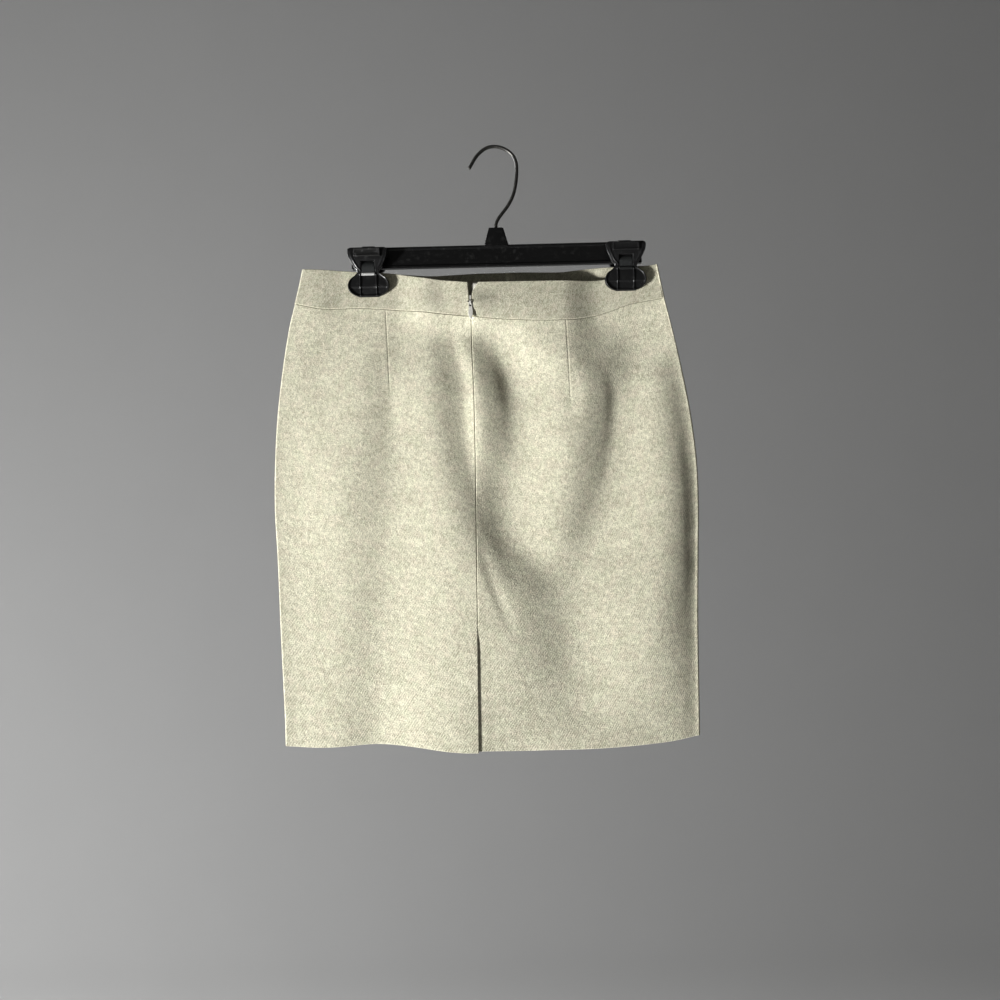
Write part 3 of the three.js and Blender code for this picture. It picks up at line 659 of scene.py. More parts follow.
class Shade:
    """One material's node tree."""

    def __init__(self, name: str) -> None:
        """Start a material with its Principled shader.

        Args:
            name: the material's name.
        """
        self.material = bpy.data.materials.new(name)
        self.material.use_nodes = True
        self.tree = self.material.node_tree
        self.tree.nodes.clear()
        self.shader = self.node("BsdfPrincipled", {}, {})
        out = self.node("OutputMaterial", {}, {})
        self.tree.links.new(self.shader.outputs[0], out.inputs[0])

    def node(self, kind: str, settings: dict[str, Any], inputs: dict[Any, Any]) -> Any:
        """Add any node.

        Args:
            kind: its type without the word ShaderNode.
            settings: its properties, set first; "stops" gives a ramp's (place, colour) pairs.
            inputs: socket names or numbers to values, sockets or Val links.

        Returns:
            The node.
        """
        made = self.tree.nodes.new("ShaderNode" + kind)
        for name, value in settings.items():
            if name == "stops":
                ramp = made.color_ramp.elements
                while len(ramp) < len(value):
                    ramp.new(0.5)
                for stop, (place, colour) in zip(ramp, value):
                    stop.position = place
                    stop.color = colour
            else:
                setattr(made, name, value)
        for name, value in inputs.items():
            if isinstance(value, Val):
                self.tree.links.new(value.socket, made.inputs[name])
            elif isinstance(value, bpy.types.NodeSocket):
                self.tree.links.new(value, made.inputs[name])
            else:
                made.inputs[name].default_value = value
        return made

    def coords(self, kind: str, scale: Sequence[float] = (1, 1, 1), turn: float = 0.0) -> Any:
        """Return a coordinate vector, scaled and turned about Z.

        Args:
            kind: "Object", or "UV" for the cloth's own flat map.
            scale: factors along the three axes.
            turn: turn about Z in radians, before the scale.

        Returns:
            The vector socket.
        """
        if kind == "UV":
            source = self.node("UVMap", {"uv_map": "cloth"}, {}).outputs[0]
        else:
            source = self.node("TexCoord", {}, {}).outputs[kind]
        inputs = {"Vector": source, "Rotation": (0.0, 0.0, turn), "Scale": tuple(scale)}
        return self.node("Mapping", {"vector_type": "POINT"}, inputs).outputs[0]

    def noise(self, vector: Any, scale: float, detail: float = 2.0, rough: float = 0.5,
              curl: float = 0.0) -> Val:
        """Return a noise value from 0 to 1, its pattern curled round itself by curl."""
        inputs = {"Vector": vector, "Scale": scale, "Detail": detail, "Roughness": rough,
                  "Distortion": curl}
        return Val(self, self.node("TexNoise", {}, inputs).outputs[0])

    def split(self, vector: Any) -> tuple[Val, Val, Val]:
        """Return a vector's three numbers."""
        parts = self.node("SeparateXYZ", {}, {0: vector}).outputs
        return Val(self, parts[0]), Val(self, parts[1]), Val(self, parts[2])

    def blend(self, share: Any, one: Any, two: Any, kind: str = "MIX") -> Any:
        """Return a mix of two colours, as a colour socket."""
        settings = {"data_type": "RGBA", "blend_type": kind, "clamp_factor": True}
        return self.node("Mix", settings, {0: share, 6: one, 7: two}).outputs[2]

    def bump(self, height: Val, strength: float, distance: float, onto: Any = None) -> Any:
        """Return a normal bent by a height.

        Args:
            height: the height value.
            strength: how strongly it shows, up to 1.
            distance: metres for a height of 1.
            onto: a normal to start from.

        Returns:
            The normal socket.
        """
        inputs = {"Height": height, "Strength": strength, "Distance": distance}
        if onto is not None:
            inputs["Normal"] = onto
        return self.node("Bump", {}, inputs).outputs[0]

    def finish(self, **sockets: Any) -> bpy.types.Material:
        """Set or link the shader's sockets by name and return the material.

        Args:
            sockets: names with underscores for spaces, to values or links.
        """
        for name, value in sockets.items():
            socket = self.shader.inputs[name.replace("_", " ").title().replace("Ior", "IOR")]
            if isinstance(value, Val):
                self.tree.links.new(value.socket, socket)
            elif isinstance(value, bpy.types.NodeSocket):
                self.tree.links.new(value, socket)
            else:
                socket.default_value = value
        return self.material


@dataclass(frozen=True)
class Dart:
    """A dart's sewn line: its place across at the waist seam and at its point."""

    top_x: float
    top_z: float
    point_x: float
    point_z: float


LEFT_DART = Dart(-115.4, -150.0, -111.6, -249.0)
RIGHT_DART = Dart(68.4, -160.0, 71.0, -267.0)


@dataclass(frozen=True)
class WoolFinish:
    """Soft fulled wool twill of mixed cream, grey and beige fibres."""

    cream: Colour = (0.790, 0.760, 0.592, 1.0)
    grey: Colour = (0.372, 0.354, 0.252, 1.0)
    beige: Colour = (1.0, 0.945, 0.965, 1.0)
    green: Colour = (0.965, 1.0, 0.965, 1.0)
    painted_shade_factor: float = 1.0
    twill_pitch: float = 2.2
    darts: tuple[Dart, ...] = ()

    def material(self, name: str) -> bpy.types.Material:
        """Return the wool: matted fibres at four sizes, tinted patches, twill ribs and darts.

        Light and dark fibres mix as a sum of noises of about 1.4, 2.6, 7 and 20 mm, the three
        finer ones curled. The ribs show in patches, and most towards the hem. A painted shade
        factor below 1 darkens the whole colour.
        """
        shade = Shade(name)
        flat = shade.coords("UV", IN_MM)
        hair = shade.noise(flat, 0.72, 3.0, 0.75, 0.3)
        curl = shade.noise(shade.coords("UV", (1000, 640, 1000), -0.3), 0.38, 3.0, 0.7, 0.25)
        tuft = shade.noise(flat, 0.15, 3.0, 0.6, 0.1)
        cloud = shade.noise(flat, 0.05, 2.0, 0.5)
        ribs = shade.coords("UV", IN_MM, math.radians(-33))
        across = shade.split(ribs)[0] + curl * 1.6 + tuft * 1.2
        twill = (across * (2 * math.pi / self.twill_pitch)).sine() * 0.5 + 0.5
        down = shade.split(flat)[1]
        shows = (down.over(120.0, 430.0) * 0.7 + 0.3) * tuft.over(0.36, 0.58)
        mixed = hair * 3.0 + curl * 2.6 + tuft * 1.2 + cloud * 0.8 - 3.35
        dark = (mixed + (0.5 - twill) * shows * 0.8).over(-0.55, 1.45)
        colour = shade.blend(dark, self.cream, self.grey)
        pinkish = shade.noise(flat, 0.085, 2.0, 0.5).over(0.46, 0.62)
        greenish = shade.noise(shade.coords("UV", IN_MM, 1.1), 0.07, 2.0, 0.5).over(0.46, 0.62)
        colour = shade.blend(pinkish * 0.5, colour, shade.blend(1.0, colour, self.beige, "MULTIPLY"))
        colour = shade.blend(greenish * 0.5, colour, shade.blend(1.0, colour, self.green, "MULTIPLY"))
        height = hair * 1.1 + curl * 0.5 + twill * shows * 0.55
        for dart in self.darts:
            sewn = self._sewn_line(shade, dart)
            height = height - sewn * 0.6
            # The sewn line is darkened a little: the dart's seam, with painted shade in its groove
            colour = shade.blend(sewn * 0.07, colour, (0.16, 0.15, 0.12, 1.0))
        # Painted shade: a factor below 1 darkens the whole piece's colour, for the waistband lying in more
        # shade than the panels
        if self.painted_shade_factor != 1.0:
            painted_shade_colour = (self.painted_shade_factor, self.painted_shade_factor, self.painted_shade_factor, 1.0)
            colour = shade.blend(1.0, colour, painted_shade_colour, "MULTIPLY")
        return shade.finish(base_color=colour, roughness=0.92, sheen_weight=0.25, sheen_roughness=0.5,
                        specular_ior_level=0.2, normal=shade.bump(height, 0.7, 0.0006))

    def _sewn_line(self, shade: Shade, dart: Dart) -> Val:
        """Return 1 on a dart's sewn line and 0 away from it.

        The line's distance is x less its place at this height, and it fades at the point.
        """
        x, _, z = shade.split(shade.coords("Object", IN_MM))
        slope = (dart.point_x - dart.top_x) / (dart.point_z - dart.top_z)
        away = (x - (z - dart.top_z) * slope - dart.top_x).size()
        fade = z.over(dart.point_z - 6, dart.point_z + 16)
        return away.over(1.4, 0.1) * fade


@dataclass(frozen=True)
class TapeFinish:
    """Fine woven zip tape."""

    colour: Colour = (0.72, 0.70, 0.62, 1.0)

    def material(self, name: str) -> bpy.types.Material:
        """Return the tape: close ribs along its length."""
        shade = Shade(name)
        x, _, z = shade.split(shade.coords("Object", IN_MM))
        rib = (x * 7.0).sine() * 0.5 + (z * 9.0).sine() * 0.5
        fluff = shade.noise(shade.coords("Object", IN_MM), 1.2)
        colour = shade.blend(fluff * 0.4, self.colour, (0.36, 0.35, 0.30, 1.0))
        return shade.finish(base_color=colour, roughness=0.85, normal=shade.bump(rib, 0.4, 0.0002))


@dataclass(frozen=True)
class PlasticFinish:
    """Moulded black plastic, satin, with faint handling marks."""

    colour: Colour = (0.0035, 0.0035, 0.0036, 1.0)
    worn: float = 0.0
    gloss: float = 0.33

    def material(self, name: str) -> bpy.types.Material:
        """Return the plastic: a faint mould grain, flow marks and dusty rubs."""
        shade = Shade(name)
        where = shade.coords("Object", IN_MM)
        grain = shade.noise(where, 1.6, 3.0, 0.6)
        flow = shade.noise(shade.coords("Object", (60, 900, 420)), 0.5, 2.0)
        rub = shade.noise(where, 0.22, 4.0, 0.65).over(0.54, 0.70)
        dull = (0.020 + self.worn, 0.020 + self.worn, 0.019 + self.worn, 1.0)
        colour = shade.blend(rub * (0.35 + self.worn * 2.0), self.colour, dull)
        rough = rub * 0.22 + flow * 0.10 + self.gloss - 0.05
        return shade.finish(base_color=colour, roughness=rough, specular_ior_level=0.34,
                        normal=shade.bump(grain * 0.5 + flow * 0.5, 0.25, 0.0003))


@dataclass(frozen=True)
class MetalFinish:
    """Metal wire, plate or zip part, with fine drawn lines and small rubs."""

    colour: Colour
    bare: Colour
    metallic: float = 0.85
    rough: float = 0.36
    wear: float = 0.4

    def material(self, name: str) -> bpy.types.Material:
        """Return the metal: drawn lines in its height and rubbed patches in its colour."""
        shade = Shade(name)
        where = shade.coords("Object", IN_MM)
        rub = shade.noise(where, 0.5, 4.0, 0.65).over(0.54, 0.70)
        drawn = shade.noise(shade.coords("Object", (2600, 2600, 260)), 1.0, 2.0)
        colour = shade.blend(rub * self.wear, self.colour, self.bare)
        return shade.finish(base_color=colour, metallic=self.metallic, roughness=rub * 0.14 + self.rough,
                        normal=shade.bump(drawn, 0.18, 0.0002))


@dataclass(frozen=True)
class PaintFinish:
    """Smooth paint on the zip's pull, with small worn places."""

    colour: Colour = (0.56, 0.55, 0.50, 1.0)

    def material(self, name: str) -> bpy.types.Material:
        """Return the paint: an orange-peel height and worn places that show the metal."""
        shade = Shade(name)
        where = shade.coords("Object", IN_MM)
        worn = shade.noise(where, 0.8, 3.0, 0.6).over(0.62, 0.70)
        peel = shade.noise(where, 3.0, 2.0)
        colour = shade.blend(worn * 0.5, self.colour, (0.24, 0.23, 0.21, 1.0))
        return shade.finish(base_color=colour, roughness=worn * 0.1 + 0.34, coat_weight=0.3,
                        normal=shade.bump(peel, 0.2, 0.0002))


@dataclass(frozen=True)
class FloorFinish:
    """A plain pale floor that sweeps up into a plain grey wall."""

    colour: Colour = (0.62, 0.62, 0.61, 1.0)
    wall: Colour = (0.20, 0.20, 0.198, 1.0)

    def material(self, name: str) -> bpy.types.Material:
        """Return the backdrop: pale low down, grey above the sweep, with a faint mottling."""
        shade = Shade(name)
        where = shade.coords("Object")
        mottle = shade.noise(where, 3.0, 3.0)
        colour = shade.blend(shade.split(where)[2].over(-3.8, -2.6), self.colour, self.wall)
        colour = shade.blend(mottle * 0.10, colour, (0.12, 0.12, 0.12, 1.0))
        return shade.finish(base_color=colour, roughness=0.9)


def piece(name: str, surface: Surface, material: bpy.types.Material,
          body: str = "skirt", nodes: Sequence[str] = (), bevel: float = 0.0) -> bpy.types.Object:
    """Put a surface into the scene as one piece.

    Args:
        name: the piece's name.
        surface: its points in millimetres, and its faces.
        material: its material.
        body: the body that it rides on.
        nodes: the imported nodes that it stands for.
        bevel: width in millimetres of the rounding of its sharp edges.

    Returns:
        The object, at the origin.
    """
    used = np.unique(np.concatenate([surface.quads.ravel(), surface.tris.ravel()]))
    place = np.zeros(len(surface.points), int)
    place[used] = np.arange(len(used))
    faces = place[surface.quads].tolist() + place[surface.tris].tolist()
    mesh = bpy.data.meshes.new(name)
    mesh.from_pydata((surface.points[used] * MM).tolist(), [], faces)
    mesh.polygons.foreach_set("use_smooth", np.ones(len(mesh.polygons), bool))
    if surface.flat is not None:
        corners = np.zeros(len(mesh.loops), int)
        mesh.loops.foreach_get("vertex_index", corners)
        layer = mesh.uv_layers.new(name="cloth")
        layer.data.foreach_set("uv", (surface.flat[used][corners] * MM).ravel())
    mesh.validate()
    mesh.update()
    mesh.materials.append(material)
    obj = bpy.data.objects.new(name, mesh)
    bpy.context.scene.collection.objects.link(obj)
    if bevel > 0:
        rounding = obj.modifiers.new("rounding", "BEVEL")
        rounding.width = bevel * MM
        rounding.segments = 3
        rounding.limit_method = "ANGLE"
        rounding.angle_limit = math.radians(34)
        rounding.harden_normals = True
    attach(obj, body)
    if nodes:
        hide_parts(*nodes)
    LOG.info("%s: %d faces", name, len(faces))
    return obj


# Cloth

# Distances from an edge in millimetres at which its mesh has a line, and the radius of a cut edge
FINE = (0.0, 0.12, 0.35, 0.7, 1.15, 1.9, 3.2)
SOFT_EDGE = 0.7


@dataclass(frozen=True)
class ClothSizes:
    """Thickness of the cloth's pieces and how finely they are meshed."""

    panel: float = 1.2
    band: float = 2.4
    band_proud: float = 0.4
    # painted shade: the factor that darkens the waistband's wool, which lies in more shade than the panels
    band_painted_shade_factor: float = 0.84
    # how far the front's upper edge is drawn up, and from where to where across
    drawn_up: float = 6.0
    drawn_end: float = 104.0
    drawn_fade: float = 92.0
    step: float = 2.7
    panel_drop: float = 445.0
    band_drop: float = 40.0
    front_width: float = 420.0
    left_width: float = 195.0
    right_width: float = 222.0
    hem: float = 38.0
    # the vent's underlap, how much shorter it is and the share of the panel above it
    underlap: float = 38.0
    underlap_short: float = 1.2
    vent_share: float = 0.708


def columns_of(cut: Cut, width: float, step: float) -> Array:
    """Return shares of the width, close together at the edges and round the side folds."""
    turn = FORM.turn
    start = turn if cut.left_edge is None else 0.0
    stop = 1.0 - turn if cut.right_edge is None else 1.0
    middle = mix(start, stop, graded(width, step, FINE) / width)
    arc = turn * np.array([0.0, 0.02, 0.06, 0.12, 0.22, 0.36, 0.52, 0.68, 0.84])
    first = arc if cut.left_edge is None else arc[:0]
    last = (1.0 - arc)[::-1] if cut.right_edge is None else arc[:0]
    return np.concatenate([first, middle, last])


def run(points: Array, axis: int) -> Array:
    """Return the length along the grid's columns or rows up to each point."""
    steps = np.linalg.norm(np.diff(points, axis=axis), axis=-1)
    pad = [(0, 0), (0, 0)]
    pad[axis] = (1, 0)
    return np.cumsum(np.pad(steps, pad), axis=axis)


def cloth(cut: Cut, columns: Array, rows: Array, outer: float, wall: float,
          cells: Array | None = None, lap_columns: int = 0, lap_row: int = 0,
          turned_up: float = 0.0) -> Surface:
    """Return one piece of cloth with rounded edges.

    Close to an edge the two sides curve together on a quarter circle, so the piece ends in a
    rounded edge and two pieces meet in a soft groove.

    Args:
        cut: the piece's cut.
        columns: shares across.
        rows: shares down.
        outer: how far the outer side stands out of the skirt's form.
        wall: the cloth's thickness.
        cells: which cells of the grid are cloth.
        lap_columns: how many first columns belong to the vent's underlap alone.
        lap_row: the row from which the underlap is there.
        turned_up: depth of the hem turned up inside, which thickens the lower edge.

    Returns:
        The closed cloth with its flat map.
    """
    a, b = np.meshgrid(columns, rows, indexing="ij")
    base = cut.surface(a, b)
    out = cut.outward(a, b)
    across = run(base, 0)
    down = run(base, 1)
    from_left = across - across[lap_columns : lap_columns + 1]
    if lap_columns:
        from_left = np.where(np.arange(len(rows))[None, :] >= lap_row, across, from_left)
    edges = [np.abs(from_left), across[-1:] - across, down, down[:, -1:] - down]
    near = np.minimum.reduce(edges)
    inset = rounding(near, min(wall / 2, SOFT_EDGE))
    thick = np.full_like(near, wall)
    if turned_up:
        thick = thick + 0.9 * (1.0 - ease((edges[3] - turned_up) / 1.5)) * ease(edges[3] / 3.0)
    front = base + out * (outer - inset)[..., None]
    back = base + out * (outer - thick + inset)[..., None]
    reference = across[lap_columns : lap_columns + 1]
    flat = np.stack([across - reference, down], axis=-1)
    return closed_wall(front, back, cells, flat=flat)


class Skirt:
    """The skirt's panels and waistband."""

    def __init__(self, sizes: ClothSizes) -> None:
        """Keep the sizes and work out the cuts.

        Args:
            sizes: thicknesses and mesh step.
        """
        self.sizes = sizes
        half = FORM.seam_gap / 2
        seam_back, seam_front = track(FORM.seam_back, 1), track(FORM.seam_front, 1)
        hem_back = track(FORM.hem_back, 1)
        gap_left, gap_right = track(FORM.zip_gap, 1), track(FORM.zip_gap, 2)
        panel = {"upper_near": -165.0, "lower_near": -606.0}
        band = {"upper_near": -128.0, "lower_near": -165.0}
        self.front = Cut(Face.FRONT, lambda x: seam_front(x) - half, track(FORM.hem_front, 1), **panel)
        self.back_left = Cut(
            Face.BACK, lambda x: seam_back(x) - half, hem_back, half=Half.LEFT,
            right_edge=lambda z: FORM.centre(z) - half, **panel)
        self.back_right = Cut(
            Face.BACK, lambda x: seam_back(x) - half,
            lambda x: hem_back(x) + sizes.underlap_short * (1 - ease((x + 29) / 60)), half=Half.RIGHT,
            left_edge=lambda z: FORM.centre(z) + half, **panel)
        top_front = track(FORM.band_top_front, 1)

        def drawn(x: Array) -> Array:
            """Return how far the front's upper edge is drawn up at x."""
            return sizes.drawn_up * ease((sizes.drawn_end - np.abs(x)) / sizes.drawn_fade)

        self.front_band = Cut(
            Face.FRONT, lambda x: top_front(x) + drawn(x), lambda x: seam_front(x) + half, **band)
        self.left_band = Cut(
            Face.BACK, track(FORM.band_top_back, 1), lambda x: seam_back(x) + half,
            right_edge=lambda z: FORM.centre(z) - gap_left(z), **band)
        self.right_band = Cut(
            Face.BACK, track(FORM.band_top_back, 1), lambda x: seam_back(x) + half,
            left_edge=lambda z: FORM.centre(z) + gap_right(z), **band)

    def panels(self) -> dict[str, bpy.types.Object]:
        """Build the front panel and the two back panels, the right one with the underlap."""
        size = self.sizes
        step = size.step * 1.0
        rows = graded(size.panel_drop, step * 1.08, FINE) / size.panel_drop
        front_rows = graded(size.panel_drop, step * 1.6, FINE) / size.panel_drop
        made = {}
        front = cloth(self.front, columns_of(self.front, size.front_width, step * 1.5),
                      front_rows, 0.0, size.panel, turned_up=size.hem)
        made["front"] = piece("front_cloth", front, WoolFinish().material("wool_front"),
                              nodes=["front_panel"])
        left = cloth(self.back_left, columns_of(self.back_left, size.left_width, step), rows, 0.0,
                     size.panel, turned_up=size.hem)
        made["left"] = piece(
            "back_left_cloth", left, WoolFinish(darts=(LEFT_DART,)).material("wool_back_left"),
            nodes=["back_panel_left"])
        main = columns_of(self.back_right, size.right_width, step)
        reach = size.underlap / size.right_width
        lap = -reach * np.linspace(1.0, 0.0, 15)[:-1]
        columns = np.concatenate([lap, main])
        vent = int(np.argmin(np.abs(rows - size.vent_share)))
        cells = np.ones((len(columns) - 1, len(rows) - 1), bool)
        cells[: len(lap), :vent] = False
        right = cloth(self.back_right, columns, rows, 0.0, size.panel, cells, len(lap), vent,
                      size.hem)
        made["right"] = piece(
            "back_right_cloth", right, WoolFinish(darts=(RIGHT_DART,)).material("wool_back_right"),
            nodes=["back_panel_right"])
        return made

    def waistband(self) -> dict[str, bpy.types.Object]:
        """Build the waistband's three pieces."""
        size = self.sizes
        rows = graded(size.band_drop, 1.6, FINE) / size.band_drop
        # The waistband's wool is darkened as painted shade
        wool = WoolFinish(painted_shade_factor=size.band_painted_shade_factor).material("wool_band")
        # name, cut, width across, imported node
        plan = (
            ("front", self.front_band, 370.0, "waistband_front"),
            ("left", self.left_band, 172.0, "waistband_back_left"),
            ("right", self.right_band, 192.0, "waistband_back_right"),
        )
        made = {}
        for key, cut, width, node in plan:
            surface = cloth(cut, columns_of(cut, width, size.step), rows, size.band_proud, size.band)
            made[key] = piece(f"band_{key}_cloth", surface, wool, nodes=[node])
        return made


@dataclass(frozen=True)
class ZipSizes:
    """Sizes of the zip's tapes, teeth, slider and pull."""

    tape_depth: float = 1.5
    tape_wall: float = 0.8
    tape_width: float = 11.0
    top: float = -140.4
    length: float = 180.6
    tooth_pitch: float = 1.5
    slider_x: float = -27.596
    slider_face: float = -13.143
    slider_z: float = -161.4
    # how far a tape's inner edge lies behind the gap's edge, and at most from the seam
    tape_tuck: float = 0.25
    tape_reach: float = 2.4
    # the teeth: how far behind the tape, how far past its edge, and clear of its two ends
    tooth_behind: float = 1.5
    tooth_past: float = 0.05
    tooth_clear: float = 2.0
    pull_thick: float = 0.9
    pull_soft: float = 0.3
    pull_top: float = 0.55
    pull_foot: float = -17.4
    # the pull's eye: how far it stands before the slider, half its width, its top and its foot
    eye_out: float = 2.2
    eye_half: float = 1.15
    eye_top: float = -0.55
    eye_foot: float = -3.8
    # height, half the pull's width
    pull_outline: tuple[tuple[float, float], ...] = (
        (0.5, 1.5), (0.1, 1.85), (-1.6, 1.92), (-4.5, 1.75), (-7.5, 1.98), (-10.2, 2.3),
        (-12.6, 2.05), (-14.6, 1.45), (-16.2, 0.85), (-17.3, 0.32),
    )


class Zip:
    """The back zip: tapes and teeth inside the seam, slider and pull at the waistband."""

    def __init__(self, sizes: ZipSizes) -> None:
        """Keep the sizes and find the slider's place.

        Args:
            sizes: the zip's sizes.
        """
        self.sizes = sizes
        self.gaps = (track(FORM.zip_gap, 1), track(FORM.zip_gap, 2))
        self.x, self.face = sizes.slider_x, sizes.slider_face

    def tapes(self) -> None:
        """Build each tape with its row of teeth along the inner edge."""
        size = self.sizes
        for side, name in ((-1, "left"), (1, "right")):
            gap = self.gaps[0 if side < 0 else 1]

            def inner(z: Array, gap: Track = gap, side: int = side) -> Array:
                """Return the tape's edge beside the gap at height z."""
                return FORM.centre(z) + side * np.minimum(gap(z) + size.tape_tuck, size.tape_reach)

            def outer(z: Array, gap: Track = gap, side: int = side) -> Array:
                """Return the tape's edge away from the gap at height z."""
                return FORM.centre(z) + side * (gap(z) + size.tape_tuck + size.tape_width)

            edges = (outer, inner) if side < 0 else (inner, outer)
            cut = Cut(Face.BACK, lambda x: np.full_like(x, size.top),
                      lambda x: np.full_like(x, size.top - size.length), upper_near=-150.0,
                      lower_near=-300.0, left_edge=edges[0], right_edge=edges[1])
            rows = np.linspace(0, 1, 80)
            tape = cloth(cut, np.linspace(0, 1, 12), rows, -size.tape_depth, size.tape_wall)
            piece(f"zip_tape_{name}_weave", tape, TapeFinish().material(f"tape_{name}"),
                  nodes=[f"zip_tape_{name}"])
            first, last = size.top - size.tooth_clear, size.top - size.length + size.tooth_clear
            places = np.arange(first, last, -size.tooth_pitch)
            places = places - (size.tooth_pitch / 2 if side > 0 else 0.0)
            x = inner(places) - side * size.tooth_past
            y = FORM.depth(Face.BACK, x, places, Half.NONE) + size.tape_depth + size.tooth_behind
            teeth = self._teeth(np.stack([x, y, places], 1), side)
            tooth_finish = TapeFinish(colour=(0.42, 0.41, 0.36, 1.0))
            piece(f"zip_teeth_{name}", teeth, tooth_finish.material(f"teeth_{name}"))

    def _teeth(self, places: Array, side: int) -> Surface:
        """Return one rounded tooth at each place, as a single surface."""
        t = np.linspace(0, 2 * math.pi, 6, endpoint=False)
        along = np.array([-0.9, -0.6, 0.5, 0.9])
        round_ = np.array([0.35, 0.6, 0.6, 0.3])
        ring = np.stack([np.zeros((4, 6)), np.outer(round_, np.cos(t)),
                         np.outer(round_ * 0.75, np.sin(t))], -1)
        ring[..., 0] = (along * side)[:, None]
        tooth = loft(ring)
        count = len(tooth.points)
        points = (places[:, None, :] + tooth.points[None]).reshape(-1, 3)
        shift = (np.arange(len(places)) * count)[:, None, None]
        return Surface(points, (tooth.quads[None] + shift).reshape(-1, 4),
                       (tooth.tris[None] + shift).reshape(-1, 3)).turned_out()

    def slider(self) -> None:
        """Build the slider: plate, shoulders, bridge and spine in front, the rest behind."""
        z = self.sizes.slider_z
        metal = MetalFinish((0.030, 0.029, 0.026, 1.0), (0.16, 0.155, 0.145, 1.0)).material("zip_dark")
        paint = PaintFinish((0.60, 0.59, 0.54, 1.0)).material("slider_paint")
        face = self.face
        bridge_line = smooth_path([
            (face - 0.55, z + 2.15), (face - 2.2, z + 2.0), (face - 3.35, z + 1.2), (face - 3.6, z),
            (face - 3.35, z - 1.2), (face - 2.2, z - 2.0), (face - 0.55, z - 2.15)], 25)
        plate = self._block(self.x, face - 0.6, z - 0.6, (2.2, 0.8, 7.0))
        shoulders = self._block(self.x, face - 0.7, z + 1.1, (5.8, 0.9, 1.3))
        wedge = self._block(self.x, face + 3.2, z, (1.5, 8.2, 4.4))
        rear_plate = self._block(self.x, face + 7.8, z, (6.4, 1.6, 9.0))
        parts = [plate, shoulders, wedge, rear_plate]
        piece("zip_slider_metal", Surface.joined(parts), metal,
              nodes=["zip_slider"], bevel=0.22)
        bridge = strip(self.x, bridge_line, 1.5, 0.8)
        spine = self._block(self.x, face - 0.1, z + 4.6, (1.3, 0.9, 5.8))
        piece("zip_slider_spine", Surface.joined([bridge, spine]), paint, bevel=0.2)

    def _block(self, x: float, y: float, z: float, size: tuple[float, float, float]) -> Surface:
        """Return a block with its corners drawn in, round a middle point."""
        signs = np.array([[1, 1], [-1, 1], [-1, -1], [1, -1]], float)
        flat = np.stack([signs[:, 0] * size[0] / 2, signs[:, 1] * size[1] / 2, signs[:, 0] * 0], 1)
        rings = [flat + np.array([x, y, z + dz * size[2] / 2]) for dz in (-1, -0.6, 0, 0.6, 1)]
        return loft(np.array(rings))

    def pull(self) -> None:
        """Build the pull: a flat drop with a slot, as a ring of wall between two outlines."""
        size = self.sizes
        paint = PaintFinish().material("pull_paint")
        half = track(size.pull_outline, 1)
        heights = np.linspace(size.pull_top, size.pull_foot + 0.05, 60)
        right = np.stack([half(heights), heights], 1)
        right[0, 0], right[-1, 0] = 1.35, 0.12
        top, foot = [(0.0, size.pull_top)], [(0.0, size.pull_foot)]
        outline = np.concatenate([top, right, foot, right[::-1] * (-1, 1)])
        wide, high, low = size.eye_half, size.eye_top, size.eye_foot
        slot = np.array([(0, high), (wide, high), (wide, low), (0, low), (-wide, low), (-wide, high)])
        count = 96
        outer = self._even(outline, count)
        inner = self._even(slot, count)
        share = np.array([0.0, 0.04, 0.14, 0.35, 0.65, 0.86, 0.96, 1.0])
        grid = outer[:, None, :] + (inner - outer)[:, None, :] * share[None, :, None]
        edge = np.minimum(np.linalg.norm(grid - outer[:, None], axis=-1),
                          np.linalg.norm(grid - inner[:, None], axis=-1))
        thick = size.pull_thick / 2 - rounding(edge, size.pull_soft)
        pivot = np.array([self.x, self.face - size.eye_out, size.slider_z])
        layers = []
        for sign in (-1, 1):
            layer = np.stack([grid[..., 0], sign * thick, grid[..., 1]], -1)
            layers.append(layer + pivot)
        piece("zip_pull_drop", closed_wall(*layers, ring=True), paint,
              body="zip_pull", nodes=["zip_pull"])

    def _even(self, outline: Array, count: int) -> Array:
        """Return count points spread evenly round a closed outline."""
        closed = np.concatenate([outline, outline[:1]])
        steps = np.linalg.norm(np.diff(closed, axis=0), axis=1)
        length = np.concatenate([[0.0], np.cumsum(steps)])
        where = np.linspace(0, length[-1], count, endpoint=False)
        return np.stack([np.interp(where, length, closed[:, axis]) for axis in (0, 1)], 1)


@dataclass(frozen=True)
class HangerSizes:
    """Sizes of the hanger's bar, boss and hook."""

    length: float = 297.0
    top: float = -100.0
    bottom: float = -121.6
    web: float = 3.0
    rim: float = 5.4
    rim_height: float = 2.2
    boss_height: float = 17.5
    boss_base: float = 25.0
    boss_crest: float = 15.0
    boss_depth: float = 7.0
    boss_taper: float = 0.6
    boss_corner: float = 1.2
    # how far the boss's foot reaches into the bar
    boss_root: float = 1.5
    # height over which the bar's rims run into its web
    fillet: float = 0.8
    wire: float = 1.7
    hook_line: tuple[tuple[float, float], ...] = (
        (-25.6, -19.6), (-23.2, -15.6), (-19.6, -9.8), (-15.4, -5.0), (-10.6, -1.2), (-5.4, 1.1),
        (0.0, 1.7), (5.6, 0.9), (11.0, -1.2), (16.0, -4.6), (20.2, -9.4), (22.4, -15.6),
        (22.9, -22.6), (22.4, -30.4), (21.2, -38.6), (19.2, -46.6), (16.0, -54.2), (11.6, -61.2),
        (6.8, -67.2), (2.6, -72.8), (0.4, -77.6), (0.0, -82.4), (0.0, -91.0),
    )


